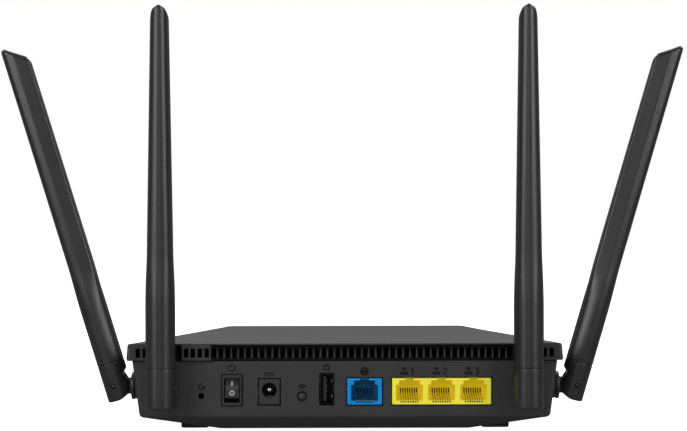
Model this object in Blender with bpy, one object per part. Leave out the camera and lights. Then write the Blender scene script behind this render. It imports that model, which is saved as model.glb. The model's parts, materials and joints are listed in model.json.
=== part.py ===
"""A desktop wireless router: a six-sided case, its board and sockets, and four hinged antennas.

Metres, +Z up. The router stands on Z = 0 and its rear panel, with the sockets, faces -Y.
"""

import math

import bmesh
import bpy
from mathutils import Matrix

GAP = 0.0003  # between pieces that touch
PANEL_CLEARANCE = 0.0005  # round each fitting in the rear panel
WALL = 0.002  # of the case
ROUND = 24  # sides of a large round piece
SMALL_ROUND = 12  # sides of a small one

# The case in plan: rear edge, two middle flats for the side antennas, and a narrower front edge.
PANEL_Y = -0.059
LIP_PROUD = 0.0018  # the cover's rear lip stands this far behind the panel
CASE_DEPTH = 0.134
REAR_WIDTH = 0.1897
MIDDLE_WIDTH = REAR_WIDTH + 0.0071
FRONT_WIDTH = 0.125
EAVE = 0.0024  # the cover reaches this far past the base
DRAFT = 0.0032  # the base's walls lean in this much towards the floor
SIDE_ANTENNA_BACK = 0.066  # from the panel forward to the side antennas
FLAT_LENGTH = 0.016

# The case in height.
FLOOR_Z = 0.0009
WALL_FOOT_Z = 0.0064
PARTING_Z = 0.031
MIDDLE_TOP_Z = 0.0331
FRONT_TOP_Z = 0.0383
FRONT_LEAN = 0.002  # the front face leans back this much over its height
REAR_TOP_Z = 0.0385
KEEL_WIDTH = REAR_WIDTH - 0.080
KEEL_FRONT_WIDTH = FRONT_WIDTH - 0.035
KEEL_REAR_SET = 0.006
KEEL_FRONT_SET = 0.02

# The grille in the lip.
SLOT_PITCH = 0.00299
SLOT_COUNT = 2 * int((REAR_WIDTH / 2 - 0.004) / SLOT_PITCH) + 1
SLOT_WIDTH = 0.0019
SLOT_LOW_Z = 0.0324
SLOT_HIGH_Z = 0.0364
SKIRT = 0.0042  # thickness of the cover's edge
RECESS_DEPTH = 0.0024
RECESS_LEFT_X = 0.03915 - REAR_WIDTH / 2
RECESS_RIGHT_X = REAR_WIDTH / 2 - 0.02365
RECESS_TOP_Z = 0.0379
NOTCH_INNER, NOTCH_OUTER = 0.0086, 0.0064  # the lip's notch behind each rear antenna, from the antenna's middle

# Board.
BOARD_Z = 0.0097
BOARD_THICKNESS = 0.0016
BOARD_WIDTH = REAR_WIDTH - 0.0492
BOARD_FRONT_WIDTH = FRONT_WIDTH - 0.033
BOARD_SET = 0.0028  # board edge behind the panel's outer face
BOARD_LENGTH = CASE_DEPTH - 0.022
BOARD_SHOULDER = BOARD_LENGTH - 0.030

# Rear panel: centre x, centre z, width and height of each fitting.
RESET_X, RESET_Z, RESET_HOLE = -0.0624, 0.0156, 0.0027
SWITCH_X, SWITCH_Z, SWITCH_WIDTH, SWITCH_HEIGHT = -0.0490, 0.01815, 0.0084, 0.0133
ROCKER_WIDTH, ROCKER_HEIGHT = 0.0068, 0.0108
ROCKER_TILT = math.radians(12)  # either way from upright
ROCKER_FACE_HALF, ROCKER_FACE_Y, ROCKER_HOLLOW, ROCKER_PIN_Y = 0.0043, -0.0046, 0.0012, 0.0034
DC_X, DC_Z, DC_WIDTH, DC_HEIGHT = -0.0328, 0.01735, 0.0090, 0.0110
DC_BORE, DC_PIN = 0.0061, 0.0021
WPS_X, WPS_Z, WPS_HOLE, WPS_CAP = -0.0186, 0.0154, 0.0045, 0.0031
USB_X, USB_Z, USB_WIDTH, USB_HEIGHT = -0.00785, 0.0185, 0.0056, 0.0131
JACK_Z, JACK_HEIGHT = 0.0174, 0.0115
WAN_X, WAN_WIDTH = 0.0086, 0.0152
LAN_X, LAN_PITCH, LAN_WIDTH, LAN_PORTS = 0.0421, 0.01397, 0.0431, 3
JACK_DEPTH = 0.021
PORT_DEPTH = 0.012
PORT_WIDTH, PORT_LOW_Z, PORT_HIGH_Z = 0.0117, 0.01335, 0.0203
STEP_WIDTH, STEP_HIGH_Z = 0.0091, 0.0222
LATCH_WIDTH = 0.0039
CONTACT_COUNT, CONTACT_PITCH, CONTACT_WIDTH = 8, 0.00102, 0.0004
CONTACT_SLOPE = math.radians(24)
USB_WALL = 0.0004
USB_DEPTH = 0.0135
BEZEL_PROUD, BEZEL_EDGE = 0.0008, 0.0012

# Antennas. Each is modelled about its hinge pin: X outward from the case, Y along the pin, Z up.
ANTENNA_LENGTH = 0.175
SLEEVE_RADIUS = 0.00645
PIN_OFFSET = 0.0013  # the pin lies this far outward of the sleeve's axis
PIN_HEIGHT = 0.007  # and this far above its lower end
SEAM_HEIGHT = 0.0179  # from the lower end to the seam
ROUND_HEIGHT = 0.050  # round up to here, facetted above
FACET_HEIGHT = 0.059
BLADE_HALF_DEPTH = 0.0062
BLADE_HALF_WIDTH = 0.0060
TIP_HALF_WIDTH = 0.0041
TIP_SLANT = math.radians(35)
PIN_RADIUS = 0.001
PIN_LENGTH = 0.0112
TONGUE_THICKNESS = 0.0044
TONGUE_HEIGHT = 0.0074
EYE_RADIUS = 0.0034
FLANGE_REACH = SLEEVE_RADIUS + PIN_OFFSET + 0.00025  # from the pin back to the flange's face
FLANGE_RADIUS = SLEEVE_RADIUS
FLANGE_THICKNESS = 0.0016
SHAFT_RADIUS = 0.0034
COLLAR_RADIUS = 0.0049
COLLAR_THICKNESS = 0.0015
BORE_RADIUS = 0.0046  # inside the radome
SPIGOT_LENGTH = 0.005
RADIATOR_WIDTH, RADIATOR_THICKNESS, RADIATOR_LENGTH = 0.005, 0.0008, 0.125
REAR_ANTENNA_X, REAR_ANTENNA_Z = REAR_WIDTH / 2 - 0.01565, 0.0175
SIDE_ANTENNA_X, SIDE_ANTENNA_Z = MIDDLE_WIDTH / 2 + 0.0098, 0.0142
SIDE_LEAN_LEFT = math.radians(17.2)
SIDE_LEAN_RIGHT = math.radians(16.4)
BOSS_ROOT = 0.006  # the side bosses' hollow reaches this far inside the wall

# Feet, screws, keyholes, label and light pipe.
FOOT_X, FOOT_Y, FOOT_WIDTH, FOOT_LENGTH = KEEL_WIDTH / 2 + 0.0117, 0.0225, 0.0122, 0.014
FRONT_FOOT_X, FRONT_FOOT_Y = KEEL_FRONT_WIDTH / 2 - 0.005, CASE_DEPTH - 0.034
CASE_SCREW_PLACES = ((REAR_WIDTH / 2 - 0.01295, 0.040), (FRONT_WIDTH / 2 - 0.0125, CASE_DEPTH - 0.0155))
CASE_SCREW_HEAD, CASE_SCREW_SHANK, CASE_SCREW_LENGTH = 0.0028, 0.0013, 0.0115
SCREW_HEAD_HEIGHT, CROSS_LENGTH, CROSS_WIDTH = 0.0018, 0.003, 0.0006
CASE_SCREW_LEDGE_Z = 0.0085
CASE_BOSS_RADIUS = 0.0045
CASE_BOSS_TOP_Z = 0.0135
POST_RADIUS = 0.0036
BOARD_SCREW_PLACES = ((BOARD_WIDTH / 2 - 0.0045, 0.030), (BOARD_WIDTH / 2 - 0.0045, BOARD_SHOULDER - 0.006))
BOARD_SCREW_HEAD, BOARD_SCREW_SHANK, BOARD_SCREW_HOLE, BOARD_SCREW_LENGTH = 0.0026, 0.0009, 0.0012, 0.006
STANDOFF_RADIUS = 0.003
KEYHOLE_X, KEYHOLE_Y, KEYHOLE_RADIUS, KEYHOLE_SLOT, KEYHOLE_RUN = 0.040, 0.060, 0.0035, 0.0036, 0.008
AIR_SLOT_PITCH, AIR_SLOT_WIDTH, AIR_SLOT_LENGTH, AIR_SLOT_ROWS = 0.005, 0.002, 0.018, (0.046, 0.072)
LABEL_Y, LABEL_WIDTH, LABEL_LENGTH, LABEL_THICKNESS = 0.024, 0.070, 0.024, 0.0004
LIGHT_COUNT, LIGHT_PITCH, LIGHT_WIDTH, LIGHT_HEIGHT, LIGHT_Z = 5, 0.012, 0.005, 0.0014, 0.0335

LIP_Y = PANEL_Y - LIP_PROUD
FRONT_Y = LIP_Y + CASE_DEPTH
SIDE_ANTENNA_Y = PANEL_Y + SIDE_ANTENNA_BACK
BOARD_TOP_Z = BOARD_Z + BOARD_THICKNESS

# What stands on the board, as sizes and places from the panel.
CHIP_SIZE, CHIP_HEIGHT, CHIP_Y = 0.017, 0.0016, 0.062
SINK_SIZE, SINK_HEIGHT, SINK_BASE, FIN_PITCH, FIN_GROOVE = 0.034, 0.009, 0.002, 0.004, 0.003
CAN_X, CAN_Y, CAN_WIDTH, CAN_LENGTH, CAN_HEIGHT, CAN_WALL = 0.042, 0.058, 0.036, 0.030, 0.0032, 0.0006
TRANSFORMER_Y, TRANSFORMER_HEIGHT = 0.0295, 0.005
KEY_SWITCH_Y, KEY_SWITCH_WIDTH, KEY_SWITCH_DEPTH = 0.0098, 0.006, 0.0035
LEAD_RADIUS, LEAD_END_X, REAR_LEAD_END_Y, SIDE_LEAD_END_Y = 0.0006, 0.0615, 0.050, 0.066


def clear_scene():
    for thing in list(bpy.data.objects):
        bpy.data.objects.remove(thing, do_unlink=True)


def finish(name, colour, roughness, metallic=0.0):
    """A plain material with the piece's colour, roughness and metallic value."""
    material = bpy.data.materials.new(name)
    material.use_nodes = True
    shader = material.node_tree.nodes["Principled BSDF"]
    shader.inputs["Base Color"].default_value = (*colour, 1.0)
    shader.inputs["Roughness"].default_value = roughness
    shader.inputs["Metallic"].default_value = metallic
    return material


def object_from(name, bm, material=None):
    bmesh.ops.recalc_face_normals(bm, faces=bm.faces)
    mesh = bpy.data.meshes.new(name)
    bm.to_mesh(mesh)
    bm.free()
    made = bpy.data.objects.new(name, mesh)
    bpy.context.collection.objects.link(made)
    if material:
        mesh.materials.append(material)
    return made


def hull(name, points, material=None):
    """The convex solid around the points."""
    bm = bmesh.new()
    for point in points:
        bm.verts.new(point)
    found = bmesh.ops.convex_hull(bm, input=bm.verts)
    loose = {v for v in found["geom_interior"] + found["geom_unused"] if isinstance(v, bmesh.types.BMVert)}
    bmesh.ops.delete(bm, geom=list(loose), context="VERTS")
    bmesh.ops.dissolve_limit(bm, angle_limit=math.radians(0.05), verts=bm.verts, edges=bm.edges)
    return object_from(name, bm, material)


def blocks(name, bounds, material=None):
    """One object holding a box for each (low corner, high corner)."""
    bm = bmesh.new()
    for low, high in bounds:
        size = [b - a for a, b in zip(low, high)]
        middle = [(a + b) / 2 for a, b in zip(low, high)]
        place = Matrix.Translation(middle) @ Matrix.Diagonal((*size, 1))
        bmesh.ops.create_cube(bm, size=1, matrix=place)
    return object_from(name, bm, material)


def block(name, low, high, material=None):
    return blocks(name, [(low, high)], material)


def centred(x, y, z, width, length, height):
    """The bounds of a box from its centre and size."""
    return (x - width / 2, y - length / 2, z - height / 2), (x + width / 2, y + length / 2, z + height / 2)


AXIS_TURN = {
    "X": Matrix.Rotation(math.radians(90), 4, "Y"),
    "Y": Matrix.Rotation(math.radians(-90), 4, "X"),
    "Z": Matrix.Identity(4),
}


def rods(name, axis, radius, spans, sides=SMALL_ROUND, material=None):
    """One object holding a cylinder along axis for each (centre of its low end, length)."""
    bm = bmesh.new()
    for start, length in spans:
        middle = [s + (length / 2 if letter == axis else 0) for s, letter in zip(start, "XYZ")]
        bmesh.ops.create_cone(
            bm,
            cap_ends=True,
            segments=sides,
            radius1=radius,
            radius2=radius,
            depth=length,
            matrix=Matrix.Translation(middle) @ AXIS_TURN[axis],
        )
    return object_from(name, bm, material)


def rod(name, axis, radius, start, length, sides=SMALL_ROUND, material=None):
    return rods(name, axis, radius, [(start, length)], sides, material)


def prism(name, outline, start, end, axis="Z", material=None):
    """An outline extruded along axis. Its points are (x, y) along Z, (x, z) along Y and (y, z) along X."""
    place = {
        "Z": lambda a, b, level: (a, b, level),
        "Y": lambda a, b, level: (a, level, b),
        "X": lambda a, b, level: (level, a, b),
    }[axis]
    bm = bmesh.new()
    low = [bm.verts.new(place(a, b, start)) for a, b in outline]
    high = [bm.verts.new(place(a, b, end)) for a, b in outline]
    bm.faces.new(low)
    bm.faces.new(high)
    for i, corner in enumerate(low):
        after = (i + 1) % len(low)
        bm.faces.new((corner, low[after], high[after], high[i]))
    return object_from(name, bm, material)


def arc(centre_a, centre_b, radius, first, last, count):
    """Points along a circle from one angle to another, in degrees."""
    angles = [math.radians(first + (last - first) * i / count) for i in range(count + 1)]
    return [(centre_a + radius * math.cos(t), centre_b + radius * math.sin(t)) for t in angles]


def combine(body, operation, *tools):
    """Booleans the tools with the body, one after another, and removes them."""
    for tool in tools:
        change = body.modifiers.new(tool.name, "BOOLEAN")
        change.operation = operation
        change.solver = "EXACT"
        change.object = tool
    bpy.context.view_layer.update()
    graph = bpy.context.evaluated_depsgraph_get()
    made = bpy.data.meshes.new_from_object(body.evaluated_get(graph))
    body.modifiers.clear()
    body.data = made
    for tool in tools:
        bpy.data.objects.remove(tool, do_unlink=True)
    return body


def cut(body, *tools):
    return combine(body, "DIFFERENCE", *tools)


def join(body, *tools):
    return combine(body, "UNION", *tools)


def keep_inside(body, *tools):
    return combine(body, "INTERSECT", *tools)


def smooth(thing):
    thing.data.shade_smooth()
    thing.data.set_sharp_from_angle(angle=math.radians(30))
    return thing


def pivot(name, place, turn=None, parent=None):
    """An empty on a joint's axis, for the pieces that move with it."""
    empty = bpy.data.objects.new(name, None)
    bpy.context.collection.objects.link(empty)
    empty.empty_display_size = 0.01
    empty.parent = parent
    empty.matrix_basis = Matrix.Translation(place) @ (turn or Matrix.Identity(4))
    return empty


def mirrored(points):
    return [(side * x, *rest) for side in (-1, 1) for x, *rest in points]


def plan(rear_half, middle_half, front_half, rear_y, front_y, z):
    """The case's outline at one height: rear corners, both ends of the middle flats and front corners."""
    half_flat = FLAT_LENGTH / 2
    return mirrored(
        [
            (rear_half, rear_y, z),
            (middle_half, SIDE_ANTENNA_Y - half_flat, z),
            (middle_half, SIDE_ANTENNA_Y + half_flat, z),
            (front_half, front_y, z),
        ]
    )


def case_ring(shrink, rear_y, front_y, z):
    return plan(REAR_WIDTH / 2 - shrink, MIDDLE_WIDTH / 2 - shrink, FRONT_WIDTH / 2 - shrink, rear_y, front_y, z)


def base_solid(name, inset=0.0, top_z=PARTING_Z - GAP, drop=0.0):
    """The base as a full solid. inset moves each face inward and drop lowers the whole."""
    front_y = FRONT_Y - EAVE
    keel_half = KEEL_WIDTH / 2 - inset / 2
    keel_rear_y = PANEL_Y + KEEL_REAR_SET + inset / 2
    keel_front_y = front_y - DRAFT - KEEL_FRONT_SET - inset / 2
    rim = case_ring(EAVE + inset, PANEL_Y + inset, front_y - inset, top_z - drop)
    foot_z = WALL_FOOT_Z + inset - drop
    foot = case_ring(EAVE + DRAFT + inset, PANEL_Y + inset, front_y - DRAFT - inset, foot_z)
    floor_z = FLOOR_Z + inset - drop
    keel = plan(keel_half, keel_half, KEEL_FRONT_WIDTH / 2 - inset / 2, keel_rear_y, keel_front_y, floor_z)
    return hull(name, rim + foot + keel)


def cover_solid(name, skirt=0.0, roof=0.0, bottom_z=PARTING_Z):
    """The cover as a full solid. skirt moves its sides inward, and roof lowers its top."""
    rear_y = LIP_Y + skirt
    front_y = FRONT_Y - skirt
    lean = 0.0006 if skirt == 0 else 0.0
    low = case_ring(skirt, rear_y, front_y, bottom_z)
    flat = FLAT_LENGTH / 2
    middle_half = MIDDLE_WIDTH / 2 - skirt - lean / 2
    top = mirrored(
        [
            (REAR_WIDTH / 2 - skirt - lean, rear_y, REAR_TOP_Z - roof),
            (middle_half, SIDE_ANTENNA_Y - flat, MIDDLE_TOP_Z - roof),
            (middle_half, SIDE_ANTENNA_Y + flat, MIDDLE_TOP_Z - roof),
            (FRONT_WIDTH / 2 - skirt - 0.0035, front_y - FRONT_LEAN, FRONT_TOP_Z - roof),
        ]
    )
    return hull(name, low + top)


def panel_hole(name, x, z, width, height):
    """A cutter for one rectangular hole through the rear panel."""
    grown_width, grown_height = width + 2 * PANEL_CLEARANCE, height + 2 * PANEL_CLEARANCE
    low, high = centred(x, PANEL_Y + WALL / 2, z, grown_width, WALL * 3, grown_height)
    return block(name, low, high)


def make_base_shell(black):
    shell = cut(base_solid("base_shell"), base_solid("hollow", inset=WALL, top_z=PARTING_Z + WALL))
    boss_start = SIDE_ANTENNA_X - FLANGE_REACH - FLANGE_THICKNESS - GAP
    boss_inner = MIDDLE_WIDTH / 2 - EAVE - DRAFT - WALL
    for side in (-1, 1):
        low_x = min(side * boss_inner, side * boss_start)
        boss_centre = (low_x, SIDE_ANTENNA_Y, SIDE_ANTENNA_Z)
        join(shell, rod("boss", "X", FLANGE_RADIUS - 0.0002, boss_centre, boss_start - boss_inner, ROUND))
        cavity_end = boss_start - WALL
        cavity_start = boss_inner - BOSS_ROOT
        low_x = min(side * cavity_start, side * cavity_end)
        cavity = rod(
            "cavity",
            "X",
            COLLAR_RADIUS + GAP,
            (low_x, SIDE_ANTENNA_Y, SIDE_ANTENNA_Z),
            cavity_end - cavity_start,
            ROUND,
        )
        low_x = min(side * (cavity_end - 0.001), side * (boss_start + 0.001))
        shaft_start = (low_x, SIDE_ANTENNA_Y, SIDE_ANTENNA_Z)
        shaft_hole = rod("shaft_hole", "X", SHAFT_RADIUS + GAP, shaft_start, WALL + 0.002, ROUND)
        cut(shell, cavity)
        cut(shell, shaft_hole)
    foot_z = FLOOR_Z + WALL / 2
    places = [(s * x, PANEL_Y + y) for s in (-1, 1) for x, y in BOARD_SCREW_PLACES]
    standoffs = [((x, y, foot_z), BOARD_Z - GAP - foot_z) for x, y in places]
    join(shell, keep_inside(rods("standoffs", "Z", STANDOFF_RADIUS, standoffs), base_solid("limit", inset=WALL / 2)))
    pilots = [((x, y, BOARD_Z - 0.0045), BOARD_SCREW_LENGTH) for x, y in places]
    cut(shell, rods("pilot_holes", "Z", BOARD_SCREW_HOLE, pilots, 8))
    places = [(s * x, PANEL_Y + y) for s in (-1, 1) for x, y in CASE_SCREW_PLACES]
    boss_spans = [((x, y, FLOOR_Z), CASE_BOSS_TOP_Z - FLOOR_Z) for x, y in places]
    bosses = rods("bosses", "Z", CASE_BOSS_RADIUS, boss_spans, 16)
    join(shell, keep_inside(bosses, base_solid("limit", inset=WALL / 2)))
    heads = [((x, y, -WALL), CASE_SCREW_LEDGE_Z + WALL) for x, y in places]
    shanks = [((x, y, 0.0), CASE_BOSS_TOP_Z + WALL) for x, y in places]
    cut(shell, rods("head_holes", "Z", CASE_SCREW_HEAD + GAP, heads, 16))
    cut(shell, rods("shank_holes", "Z", CASE_SCREW_SHANK + GAP, shanks, 8))
    cut_panel(shell)
    cut_floor(shell)
    shell.data.materials.clear()
    shell.data.materials.append(black)
    return shell


def cut_panel(shell):
    """Every hole in the rear panel."""
    for name, x, z, width, height in (
        ("switch_hole", SWITCH_X, SWITCH_Z, SWITCH_WIDTH - BEZEL_EDGE, SWITCH_HEIGHT - BEZEL_EDGE),
        ("dc_hole", DC_X, DC_Z, DC_WIDTH, DC_HEIGHT),
        ("usb_hole", USB_X, USB_Z, USB_WIDTH, USB_HEIGHT),
        ("wan_hole", WAN_X, JACK_Z, WAN_WIDTH, JACK_HEIGHT),
        ("lan_hole", LAN_X, JACK_Z, LAN_WIDTH, JACK_HEIGHT),
    ):
        cut(shell, panel_hole(name, x, z, width, height))
    start_y = PANEL_Y - WALL
    for x, z, radius, sides in (
        (RESET_X, RESET_Z, RESET_HOLE / 2, SMALL_ROUND),
        (WPS_X, WPS_Z, WPS_HOLE / 2, 16),
        (-REAR_ANTENNA_X, REAR_ANTENNA_Z, SHAFT_RADIUS + GAP, ROUND),
        (REAR_ANTENNA_X, REAR_ANTENNA_Z, SHAFT_RADIUS + GAP, ROUND),
    ):
        cut(shell, rod("round_hole", "Y", radius, (x, start_y, z), WALL * 3, sides))


def cut_floor(shell):
    """Keyholes for two wall screws, the label's pocket and the floor's air slots."""
    keyholes = []
    for side in (-1, 1):
        x, y = side * KEYHOLE_X, PANEL_Y + KEYHOLE_Y
        half = KEYHOLE_SLOT / 2
        drop = math.degrees(math.asin(half / KEYHOLE_RADIUS))
        head = arc(x, y, KEYHOLE_RADIUS, 90 + drop, 450 - drop, 14)
        outline = head + arc(x, y + KEYHOLE_RUN, half, 0, 180, 6)
        keyholes.append(prism("keyhole", outline, -WALL, FLOOR_Z + 2 * WALL))
    cut(shell, *keyholes)
    pocket = centred(
        0, PANEL_Y + LABEL_Y, FLOOR_Z, LABEL_WIDTH + 2 * GAP, LABEL_LENGTH + 2 * GAP, 2 * (LABEL_THICKNESS + GAP)
    )
    half = AIR_SLOT_WIDTH / 2
    slots = []
    for x in [step * AIR_SLOT_PITCH for step in range(-4, 5)]:
        for y in [PANEL_Y + row for row in AIR_SLOT_ROWS]:
            slots.append(((x - half, y, -WALL), (x + half, y + AIR_SLOT_LENGTH, FLOOR_Z + 2 * WALL)))
    cut(shell, blocks("pocket", [pocket]), blocks("air_slots", slots))


def make_cover(black):
    cover = cut(cover_solid("top_cover"), cover_solid("hollow", skirt=SKIRT, roof=WALL, bottom_z=PARTING_Z - WALL))
    places = [(s * x, PANEL_Y + y) for s in (-1, 1) for x, y in CASE_SCREW_PLACES]
    post_spans = [((x, y, CASE_BOSS_TOP_Z + GAP), REAR_TOP_Z - CASE_BOSS_TOP_Z) for x, y in places]
    posts = rods("posts", "Z", POST_RADIUS, post_spans, 12)
    limit = cover_solid("limit", skirt=WALL / 2, roof=WALL / 2, bottom_z=0.0)
    join(cover, keep_inside(posts, limit))
    pilot_spans = [((x, y, CASE_BOSS_TOP_Z - WALL), 0.012) for x, y in places]
    cut(cover, rods("pilots", "Z", CASE_SCREW_SHANK + GAP, pilot_spans, 8))
    slope = RECESS_DEPTH
    back_y = LIP_Y + RECESS_DEPTH
    recess = prism(
        "recess",
        [
            (RECESS_LEFT_X - slope, LIP_Y - slope),
            (RECESS_LEFT_X - slope, LIP_Y),
            (RECESS_LEFT_X, back_y),
            (RECESS_RIGHT_X, back_y),
            (RECESS_RIGHT_X + slope, LIP_Y),
            (RECESS_RIGHT_X + slope, LIP_Y - slope),
        ],
        PARTING_Z - WALL,
        RECESS_TOP_Z,
    )
    first = -SLOT_PITCH * (SLOT_COUNT - 1) / 2
    slots = []
    for i in range(SLOT_COUNT):
        x = first + i * SLOT_PITCH
        low = (x - SLOT_WIDTH / 2, LIP_Y - WALL, SLOT_LOW_Z)
        high = (x + SLOT_WIDTH / 2, LIP_Y + SKIRT + 0.001, SLOT_HIGH_Z)
        slots.append((low, high))
    windows = [
        centred(
            (i - (LIGHT_COUNT - 1) / 2) * LIGHT_PITCH,
            FRONT_Y - SKIRT / 2,
            LIGHT_Z,
            LIGHT_WIDTH,
            SKIRT * 2,
            LIGHT_HEIGHT,
        )
        for i in range(LIGHT_COUNT)
    ]
    notches = []
    for side in (-1, 1):
        edges = [side * (REAR_ANTENNA_X - NOTCH_INNER), side * (REAR_ANTENNA_X + NOTCH_OUTER)]
        low = (min(edges), LIP_Y - WALL, PARTING_Z - WALL)
        notches.append((low, (max(edges), back_y, RECESS_TOP_Z)))
    cut(cover, recess)
    cut(cover, blocks("notches", notches))
    cut(cover, blocks("slots", slots))
    cut(cover, blocks("windows", windows))
    cover.data.materials.clear()
    cover.data.materials.append(black)
    return cover


def make_feet(rubber):
    """Each foot is cut to the slope of the floor above it."""
    for row, x, y in (("rear", FOOT_X, FOOT_Y), ("front", FRONT_FOOT_X, FRONT_FOOT_Y)):
        for side, sign in (("left", -1), ("right", 1)):
            low, high = centred(sign * x, PANEL_Y + y, 0.003, FOOT_WIDTH, FOOT_LENGTH, 0.006)
            foot = block(f"foot_{row}_{side}", low, high, rubber)
            cut(foot, base_solid("slope", drop=GAP))


def make_light_pipe(clear):
    """A clear plate behind the front windows, with a leg down to each light on the board's front edge."""
    half = LIGHT_PITCH * (LIGHT_COUNT - 1) / 2 + LIGHT_WIDTH / 2 - GAP
    leg_y = PANEL_Y + BOARD_SET + BOARD_LENGTH - 0.003
    plate_high = (half, FRONT_Y - SKIRT - FRONT_LEAN - GAP, LIGHT_Z + 0.0007)
    plate = block("light_pipe", (-half, leg_y - 0.001, LIGHT_Z - 0.0007), plate_high, clear)
    finger_half = LIGHT_WIDTH / 2 - GAP
    finger_rise = LIGHT_HEIGHT / 2 - GAP
    fingers, legs = [], []
    for i in range(LIGHT_COUNT):
        x = (i - (LIGHT_COUNT - 1) / 2) * LIGHT_PITCH
        finger_low = (x - finger_half, plate_high[1] - 0.001, LIGHT_Z - finger_rise)
        fingers.append((finger_low, (x + finger_half, FRONT_Y - 0.0012, LIGHT_Z + finger_rise)))
        legs.append(((x - 0.001, leg_y - 0.0008, BOARD_TOP_Z + 0.002), (x + 0.001, leg_y + 0.001, LIGHT_Z)))
    join(plate, blocks("fingers", fingers))
    join(plate, blocks("legs", legs))


def make_screws(steel):
    places = [(s * x, PANEL_Y + y) for s in (-1, 1) for x, y in CASE_SCREW_PLACES]
    for number, (x, y) in enumerate(places, 1):
        head_z = CASE_SCREW_LEDGE_Z - GAP - SCREW_HEAD_HEIGHT
        head = rod(f"case_screw_{number}", "Z", CASE_SCREW_HEAD, (x, y, head_z), SCREW_HEAD_HEIGHT, 16, steel)
        shank = rod("shank", "Z", CASE_SCREW_SHANK, (x, y, head_z + SCREW_HEAD_HEIGHT / 2), CASE_SCREW_LENGTH, 8)
        smooth(join(head, shank))
        cross_a = centred(x, y, head_z, CROSS_WIDTH, CROSS_LENGTH, SCREW_HEAD_HEIGHT * 0.8)
        cross_b = centred(x, y, head_z, CROSS_LENGTH, CROSS_WIDTH, SCREW_HEAD_HEIGHT * 0.8)
        cut(head, block("cross_a", *cross_a), block("cross_b", *cross_b))
    places = [(-1, BOARD_SCREW_PLACES[0]), (1, BOARD_SCREW_PLACES[1])]
    for name, (side, (x, y)) in zip(("left", "right"), places):
        start_z = BOARD_TOP_Z + GAP
        at = (side * x, PANEL_Y + y, start_z)
        head = rod(f"board_screw_{name}", "Z", BOARD_SCREW_HEAD, at, 0.0016, SMALL_ROUND, steel)
        below = (at[0], at[1], start_z + 0.0005 - BOARD_SCREW_LENGTH)
        smooth(join(head, rod("shank", "Z", BOARD_SCREW_SHANK, below, BOARD_SCREW_LENGTH, 8)))


def make_board(green):
    rear_y = PANEL_Y + BOARD_SET
    half, front_half = BOARD_WIDTH / 2, BOARD_FRONT_WIDTH / 2
    outline = [
        (-half, rear_y),
        (half, rear_y),
        (half, rear_y + BOARD_SHOULDER),
        (front_half, rear_y + BOARD_LENGTH),
        (-front_half, rear_y + BOARD_LENGTH),
        (-half, rear_y + BOARD_SHOULDER),
    ]
    board = prism("circuit_board", outline, BOARD_Z, BOARD_TOP_Z, material=green)
    screws = [(-BOARD_SCREW_PLACES[0][0], BOARD_SCREW_PLACES[0][1]), BOARD_SCREW_PLACES[1]]
    spans = [((x, PANEL_Y + y, BOARD_Z - 0.001), BOARD_THICKNESS + 0.002) for x, y in screws]
    cut(board, rods("screw_holes", "Z", BOARD_SCREW_HOLE, spans, 8))


def make_on_board(chip_black, silver, tin, grey):
    """The pieces that stand on the board."""
    seat_z = BOARD_TOP_Z + GAP
    chip_y = PANEL_Y + CHIP_Y
    low, high = centred(0, chip_y, seat_z + CHIP_HEIGHT / 2, CHIP_SIZE, CHIP_SIZE, CHIP_HEIGHT)
    block("main_chip", low, high, chip_black)
    sink_z = high[2] + GAP
    sink = block("heat_sink", *centred(0, chip_y, sink_z + SINK_HEIGHT / 2, SINK_SIZE, SINK_SIZE, SINK_HEIGHT), silver)
    groove_count = int(SINK_SIZE / FIN_PITCH)
    grooves = []
    for i in range(groove_count):
        y = chip_y + (i - (groove_count - 1) / 2) * FIN_PITCH
        middle_z = sink_z + SINK_BASE + SINK_HEIGHT / 2
        grooves.append(centred(0, y, middle_z, SINK_SIZE + 0.01, FIN_GROOVE, SINK_HEIGHT))
    cut(sink, blocks("grooves", grooves))
    for name, sign in (("left", -1), ("right", 1)):
        x, y = sign * CAN_X, PANEL_Y + CAN_Y
        can = block(f"shield_can_{name}", *centred(x, y, seat_z + CAN_HEIGHT / 2, CAN_WIDTH, CAN_LENGTH, CAN_HEIGHT), tin)
        inside_width, inside_length = CAN_WIDTH - 2 * CAN_WALL, CAN_LENGTH - 2 * CAN_WALL
        inside_z = seat_z + CAN_HEIGHT / 2 - CAN_WALL
        cut(can, block("inside", *centred(x, y, inside_z, inside_width, inside_length, CAN_HEIGHT)))
    y, z = PANEL_Y + TRANSFORMER_Y, seat_z + TRANSFORMER_HEIGHT / 2
    block("wan_transformer", *centred(WAN_X, y, z, 0.012, 0.007, TRANSFORMER_HEIGHT), chip_black)
    block("lan_transformer", *centred(LAN_X, y, z, 0.026, 0.009, TRANSFORMER_HEIGHT), chip_black)
    y, half = PANEL_Y + KEY_SWITCH_Y, KEY_SWITCH_WIDTH / 2
    for name, x, z in (("wps_switch", WPS_X, WPS_Z), ("reset_switch", RESET_X, RESET_Z)):
        body = block(name, (x - half, y, seat_z), (x + half, y + KEY_SWITCH_DEPTH, z + 0.0022), grey)
        join(body, rod("actuator", "Y", 0.0008, (x, y - 0.0008, z), 0.0012))


def port_outline(x, z_top):
    """A socket's mouth: the plug's body, the step for its latch and the latch's own slot."""
    half, step, latch = PORT_WIDTH / 2, STEP_WIDTH / 2, LATCH_WIDTH / 2
    right = [(half, PORT_LOW_Z), (half, PORT_HIGH_Z), (step, PORT_HIGH_Z), (step, STEP_HIGH_Z)]
    right += [(latch, STEP_HIGH_Z), (latch, z_top)]
    left = [(-dx, z) for dx, z in reversed(right)]
    return [(x + dx, z) for dx, z in right + left]


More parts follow.
